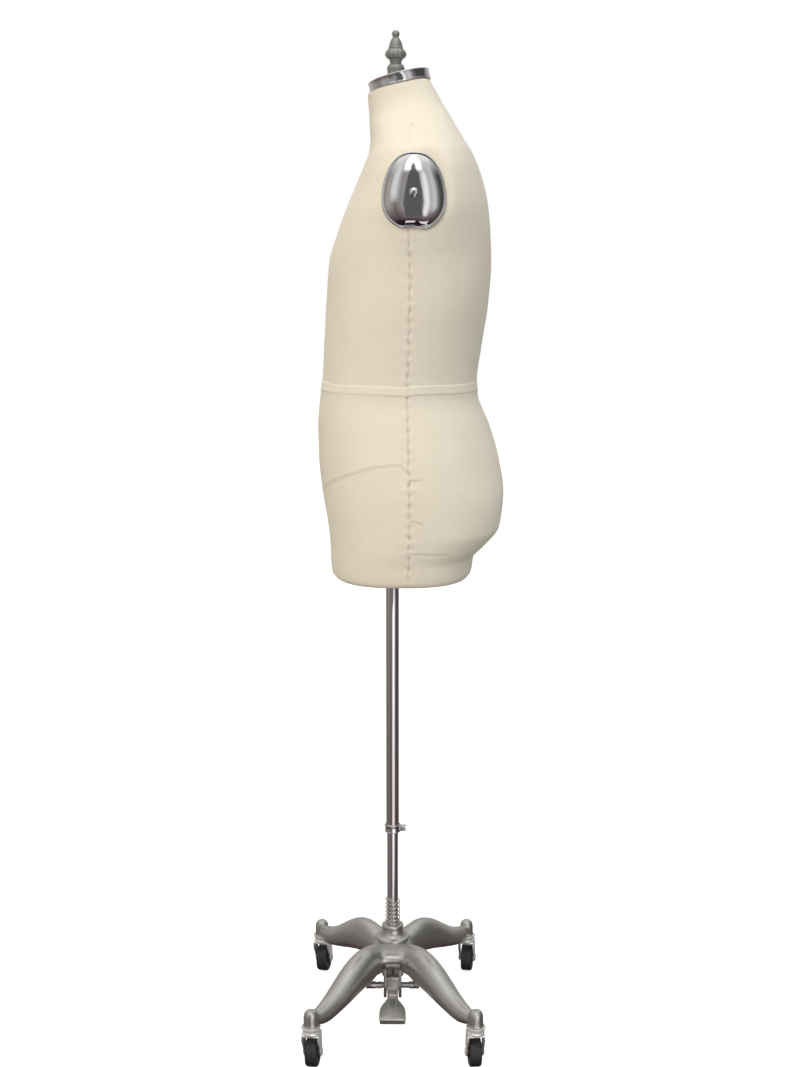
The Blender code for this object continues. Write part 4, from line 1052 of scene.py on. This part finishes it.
def stop_collar():
    _, bottom, top = extent("stop_collar")
    ring = [(11.4, top), (13.2, top), (14.2, top - 0.3), (14.3, top - 1.4), (13.6, top - 2.6), (12.9, top - 4.2),
            (12.8, bottom + 1.6), (13.3, bottom + 0.7), (13.0, bottom), (11.4, bottom)]
    collar = finished("stop_ring", spun(ring, 72, 0.5), CHROME, "collar", "stop_collar")
    cut(collar, (block((-4, 12.2, bottom + 1), (4, 24, top - 2), 1.2), ON_MAST), operation="UNION")
    cut(collar, (block((-1, 9, bottom - 2), (1, 30, top + 2), 0.05), ON_MAST))
    collar.data.set_sharp_from_angle(angle=math.radians(45))
    screw = [(0, 7.4), (1.6, 7.2), (2.7, 6.4), (3.0, 5.4), (3.0, 4.3), (1.6, 4.3), (1.6, -6), (0, -6)]
    place = ON_MAST @ at(0, 19, (bottom + top) / 2 - 0.5) @ turn_about("Y", 90)
    finished("collar_thumb_screw", spun(screw, 28, 0.25), STEEL, "collar", "collar_screw", place=place)


tube("mast_pole", "form", "mast_tube", 1.15)
tube("inner_pole", "base", "inner_post", 1.9)
bumper_spring()
stop_collar()


# -------- base casting

# along a leg from the mast's axis: distance, top, bottom and width, in mm
LEG_SECTIONS = [(6, 143, 108, 46), (26, 147, 105, 46), (45, 151.5, 102, 46.5), (62, 154.5, 99.5, 47),
                (80, 155.5, 96, 47), (96, 152.5, 92.8, 46.5), (112, 146.5, 89, 45.5), (126, 139, 85, 44),
                (140, 130, 81, 42), (153, 121.8, 77.4, 39.4), (166, 113.6, 74, 36.6), (180, 106.5, 70.5, 33.4),
                (192, 101.6, 69.2, 30.4), (204, 98, 71.4, 26.6), (213, 96, 74.4, 23.5), (219, 94, 78, 17)]
# the saddle that joins two legs, from the mast's axis out, in the same order
SADDLE_SECTIONS = [(4, 150, 106, 66), (20, 150, 107, 78), (32, 149, 108, 92), (42, 147, 111, 104),
                   (51, 143.6, 117, 106), (58, 140.2, 124, 100), (62, 136, 129, 86)]


# the valleys between two legs, beside the hub: their half width, where they start and end, and their floor, in mm
VALLEY_SIDE, VALLEY_START, VALLEY_END, VALLEY_FLOOR = 36, 22, 72, 122
CASTING_VOXEL = 1.9


def leg_rows(sections, count=28):
    """Rounded sections along +X: a soft ridge on top, fuller sides, flatter underneath."""
    angle = np.arange(count + 1) / count * 2 * math.pi
    across, up = np.cos(angle), np.sin(angle)
    rows = []
    for distance, top, bottom, width in sections:
        half = (top - bottom) / 2
        narrow = 1 - 0.16 * unit(up) ** 2
        y = np.sign(across) * np.abs(across) ** 0.9 * width / 2 * narrow
        z = (top + bottom) / 2 + np.sign(up) * np.abs(up) ** np.where(up < 0, 0.82, 0.95) * half
        rows.append(np.stack([np.full_like(y, distance), y, z], axis=1))
    for index, (distance, top, bottom, _) in ((0, sections[0]), (len(rows) + 1, sections[-1])):
        rows.insert(index, np.tile([distance, 0, (top + bottom) / 2], (count + 1, 1)))
    return np.array(rows) * MM


def smoothed(piece, iterations, group=""):
    smooth = piece.modifiers.new("Smooth", "SMOOTH")
    smooth.iterations = iterations
    smooth.factor = 0.5
    smooth.vertex_group = group
    apply_modifiers(piece)


def swivel_place(corner):
    return Vector(JOINTS[corner + "_swivel_turn"]["pos_m"]) - MAST_AXIS


CORNERS = [name[:-len("_swivel_turn")] for name in JOINTS if name.endswith("_swivel_turn")]


def base_casting():
    """Four curved legs run into one hub: voxels melt the joints, then the hollow and arches are cut."""
    shells = []
    for corner in CORNERS:
        spot = swivel_place(corner)
        shells.append((surface(leg_rows(LEG_SECTIONS)), Matrix.Rotation(math.atan2(spot.y, spot.x), 4, "Z")))
        shells.append((spun([(0, 101), (8, 99.5), (11, 95), (12, 90), (12, 76), (0, 76)], 32, 1.0),
                       Matrix.Translation((spot.x, spot.y, 0))))
    shells.append(spun([(0, 152), (26, 149), (31, 145), (35, 136), (37, 124), (36, 108), (0, 106)], 48, 2.0))
    for side in (0, math.pi):
        shells.append((surface(leg_rows(SADDLE_SECTIONS)), Matrix.Rotation(side, 4, "Z")))
    for side in (-1, 1):
        shells.append(block((17, side * 40 - 4, 69), (34, side * 40 + 4, 120), 2.0))
    shells.append(block((-31, -19, 63), (-25, 19, 112), 1.5))
    melted = finished("leg_casting", gathered(*shells), CASTING, "base", "base_casting", place=Matrix.Identity(4))
    remesh = melted.modifiers.new("Melt", "REMESH")
    remesh.mode = "VOXEL"
    remesh.voxel_size = CASTING_VOXEL * MM
    smoothed(melted, 15)
    valleys = melted.vertex_groups.new(name="valleys")
    for vert in melted.data.vertices:
        out, side, height = abs(vert.co.x) / MM, abs(vert.co.y) / MM, vert.co.z / MM
        near = float(unit((VALLEY_SIDE - side) / 10) * unit((out - VALLEY_START) / 6))
        if near > 0 and out < VALLEY_END and height > VALLEY_FLOOR:
            valleys.add([vert.index], near, "REPLACE")
    smoothed(melted, 70, valleys.name)
    hollow = block((-24, -19, 60), (46, 19, 123), 3)
    arch = spun([(0, 120), (14, 118.5), (25, 113), (36, 102), (45, 88), (49, 60), (0, 60)], 64, 3)
    bore = spun([(0, 190), (10, 190), (10, 100), (0, 100)], 40, 0)
    cut(melted, (hollow,), (arch, at(74, 0, 0)), (bore,))
    melted.data.transform(ON_MAST)
    melted.data.shade_smooth()
    melted.data.set_sharp_from_angle(angle=math.radians(55))
    collar = [(10, 175), (15.2, 175), (17.8, 174.4), (19, 172.8), (19.2, 171.2), (18.6, 169.8), (17.9, 168.8),
              (17.8, 166.4), (18.6, 162.4), (20.6, 158.4), (23.6, 155.4), (26.4, 153.8), (28.4, 152.6),
              (29.2, 150.6), (29.0, 148.4), (27.4, 146.6), (24, 140), (10, 140)]
    finished("hub_collar", spun(collar, 96, 0.4), CASTING, "base", "base_casting")
    for corner in CORNERS:
        spot = swivel_place(corner)
        dome = [(0, 104), (4.2, 103.6), (7.6, 102.2), (10.2, 99.4), (11.6, 95.4), (12, 91), (12.1, 79.5),
                (12.8, 78.2), (12.8, 76.6), (12.2, 76), (5.8, 76), (5.8, 94), (0, 94)]
        finished(corner + "_leg_socket", spun(dome, 48, 0.5), CASTING, "base", "base_casting",
                 place=ON_MAST @ Matrix.Translation((spot.x, spot.y, 0)))


base_casting()


# -------- foot pedal

def foot_pedal():
    pivot = Matrix.Translation(Vector(JOINTS["pedal_press"]["pos_m"]))
    sloped = turn_about("Y", 27)
    half = [(14, 9), (24, 8.6), (30, 9.6), (35, 12.4), (40, 16), (45, 19.2), (50, 21.4), (58, 22.5), (70, 22.5),
            (73, 21.2), (74, 19.5)]
    parts = [spun([(9, 15), (9, -15), (5.4, -15), (5.4, 15)], 40, 0.8)]
    bmesh.ops.transform(parts[0], matrix=turn_about("X", 90), verts=parts[0].verts)
    parts.append((plate(mirrored(half), 6, 1.1), sloped @ at(0, 0, -1)))
    parts.append((block((-4.4, -21.8, -6), (4.2, 21.8, 4.4), 2.2), sloped @ at(70, 0, -3) @ turn_about("Y", -20)))
    parts.append((block((4, -9, -7), (27, 9, 5.6), 1.6), sloped))
    for side in (-1, 1):
        taper = [(6, side * 8.6 - 1.3), (50, side * 6 - 0.7), (50, side * 6 + 0.7), (6, side * 8.6 + 1.3)]
        parts.append((plate(taper, 11.5, 0.5), sloped @ at(0, 0, 0.4)))
        parts.append((block((0, side * 12.9 - 2.6, -17), (13, side * 12.9 + 2.6, 40), 1.2), turn_about("Y", 8)))
    parts.append((block((1, -12, 0), (11, 12, 21), 1.5), turn_about("Y", 8)))
    parts.append(block((-29, -6, 0), (-6, 6, 7.5), 1.0))
    finished("release_pedal", gathered(*parts), CASTING, "pedal", "foot_pedal", place=pivot, sharp=45)
    crosswise = pivot @ turn_about("X", 90)
    finished("return_spring", wound(0.7, 5.9, 4, 24, 10, 17.9, 9.2), SPRING, "pedal", "pedal_spring",
             place=crosswise)
    bar = mirrored([(0, 46), (5.6, 46), (6.2, 45.4), (6.2, 29), (5, 28.6)])
    finished("pedal_bar", spun(bar, 40, 0.3), CASTING, "base", "pedal_axle", place=crosswise)


foot_pedal()


# -------- casters

def caster(corner):
    swivel = Vector(JOINTS[corner + "_swivel_turn"]["pos_m"])
    roll = JOINTS[corner + "_wheel_roll"]
    wheel, axle = Vector(roll["pos_m"]), Vector(roll["axis"])
    yaw = math.atan2(-axle.x, axle.y)
    at_corner = Matrix.Translation((swivel.x, swivel.y, 0)) @ Matrix.Rotation(yaw, 4, "Z")
    at_wheel = Matrix.Translation(wheel) @ Matrix.Rotation(yaw, 4, "Z") @ turn_about("X", 90)
    race = [(0, 95), (4.6, 95), (5, 94.4), (5, 75.6), (9.5, 75.6), (11, 75.2), (12.4, 74.3), (14.4, 74.6),
            (15.4, 75.3), (16.1, 75.2), (16.2, 74.3), (15.4, 72.6), (13.8, 71.0), (12.0, 70.2), (9, 69.8),
            (0, 69.7)]
    finished(corner + "_swivel_race", spun(race, 56, 0.25), ZINC, "base", corner + "_caster_stem", place=at_corner)
    crown = [(0, 69.1), (10, 69.1), (12.2, 68.5), (14.0, 67.2), (14.6, 65.6), (14.3, 63.9), (13.4, 62.7),
             (12, 62.3), (0, 62.2)]
    cheek = [(11.5, 62), (11, 54), (7, 47.5), (1, 40), (-4, 30), (-8, 21), (-9.4, 18.6), (-12.2, 17.3), (-15, 17.0),
             (-17.8, 17.3), (-20.6, 18.6), (-22, 21), (-22.3, 25), (-22, 30), (-20.4, 45), (-18, 62)]
    upright = turn_about("X", 90)
    parts = [spun(crown, 48, 0.4), block((-17.8, -14.4, 60.2), (11.4, 14.4, 62.6), 0.8)]
    for side in (-1, 1):
        parts.append((plate(cheek, 1.9, 0.4), at(0, side * 13.5, 0) @ upright))
    finished(corner + "_fork_housing", gathered(*parts), ZINC, corner + "_swivel", corner + "_caster_fork",
             place=at_corner, sharp=40)
    pin = mirrored([(0, 16.5), (3.0, 16.4), (5.2, 15.9), (6.3, 15.1), (6.2, 14.7), (4, 14.6)])
    hub = mirrored([(4.3, 11), (7.4, 11), (8.2, 10.4), (8.6, 8.4), (10, 7.6), (14.6, 7.2), (16, 7.8), (17.2, 8.2)])
    tread = mirrored([(17.3, 9.2), (19.4, 9.8), (21.6, 9.9), (23.0, 9.4), (24.1, 8.2), (24.6, 6.4), (24.69, 3.5),
                      (24.69, 0.6)], (24.45, 0))
    for word, shape, finish, body, node in (("_wheel_pin", spun(pin, 32, 0.2), ZINC, "_swivel", "_caster_axle"),
                                            ("_wheel_hub", spun(hub, 56, 0.35), PLASTIC, "_wheel", "_wheel_core"),
                                            ("_tread", spun(tread, 72, 0.3), RUBBER, "_wheel", "_tyre")):
        finished(corner + word, shape, finish, corner + body, corner + node, place=at_wheel)


for corner in CORNERS:
    caster(corner)


# -------- carried-over nodes

CARRIED_OVER = {"zinc": ["post_ring_nut"], "paper_shell": ["torso_shell"],
                "wood": ["bottom_board", "neck_block", "left_arm_block", "right_arm_block"],
                "steel": ["hub_set_screw", "rod_guide", "lock_collet", "release_rod", "lock_cone", "top_socket",
                          "mast_flange", "flange_screw", "finial_stud"]}
for slot, names in CARRIED_OVER.items():
    for name in names:
        for place in frame["nodes"][name].material_slots:
            place.material = SLOT_FINISHES[slot]
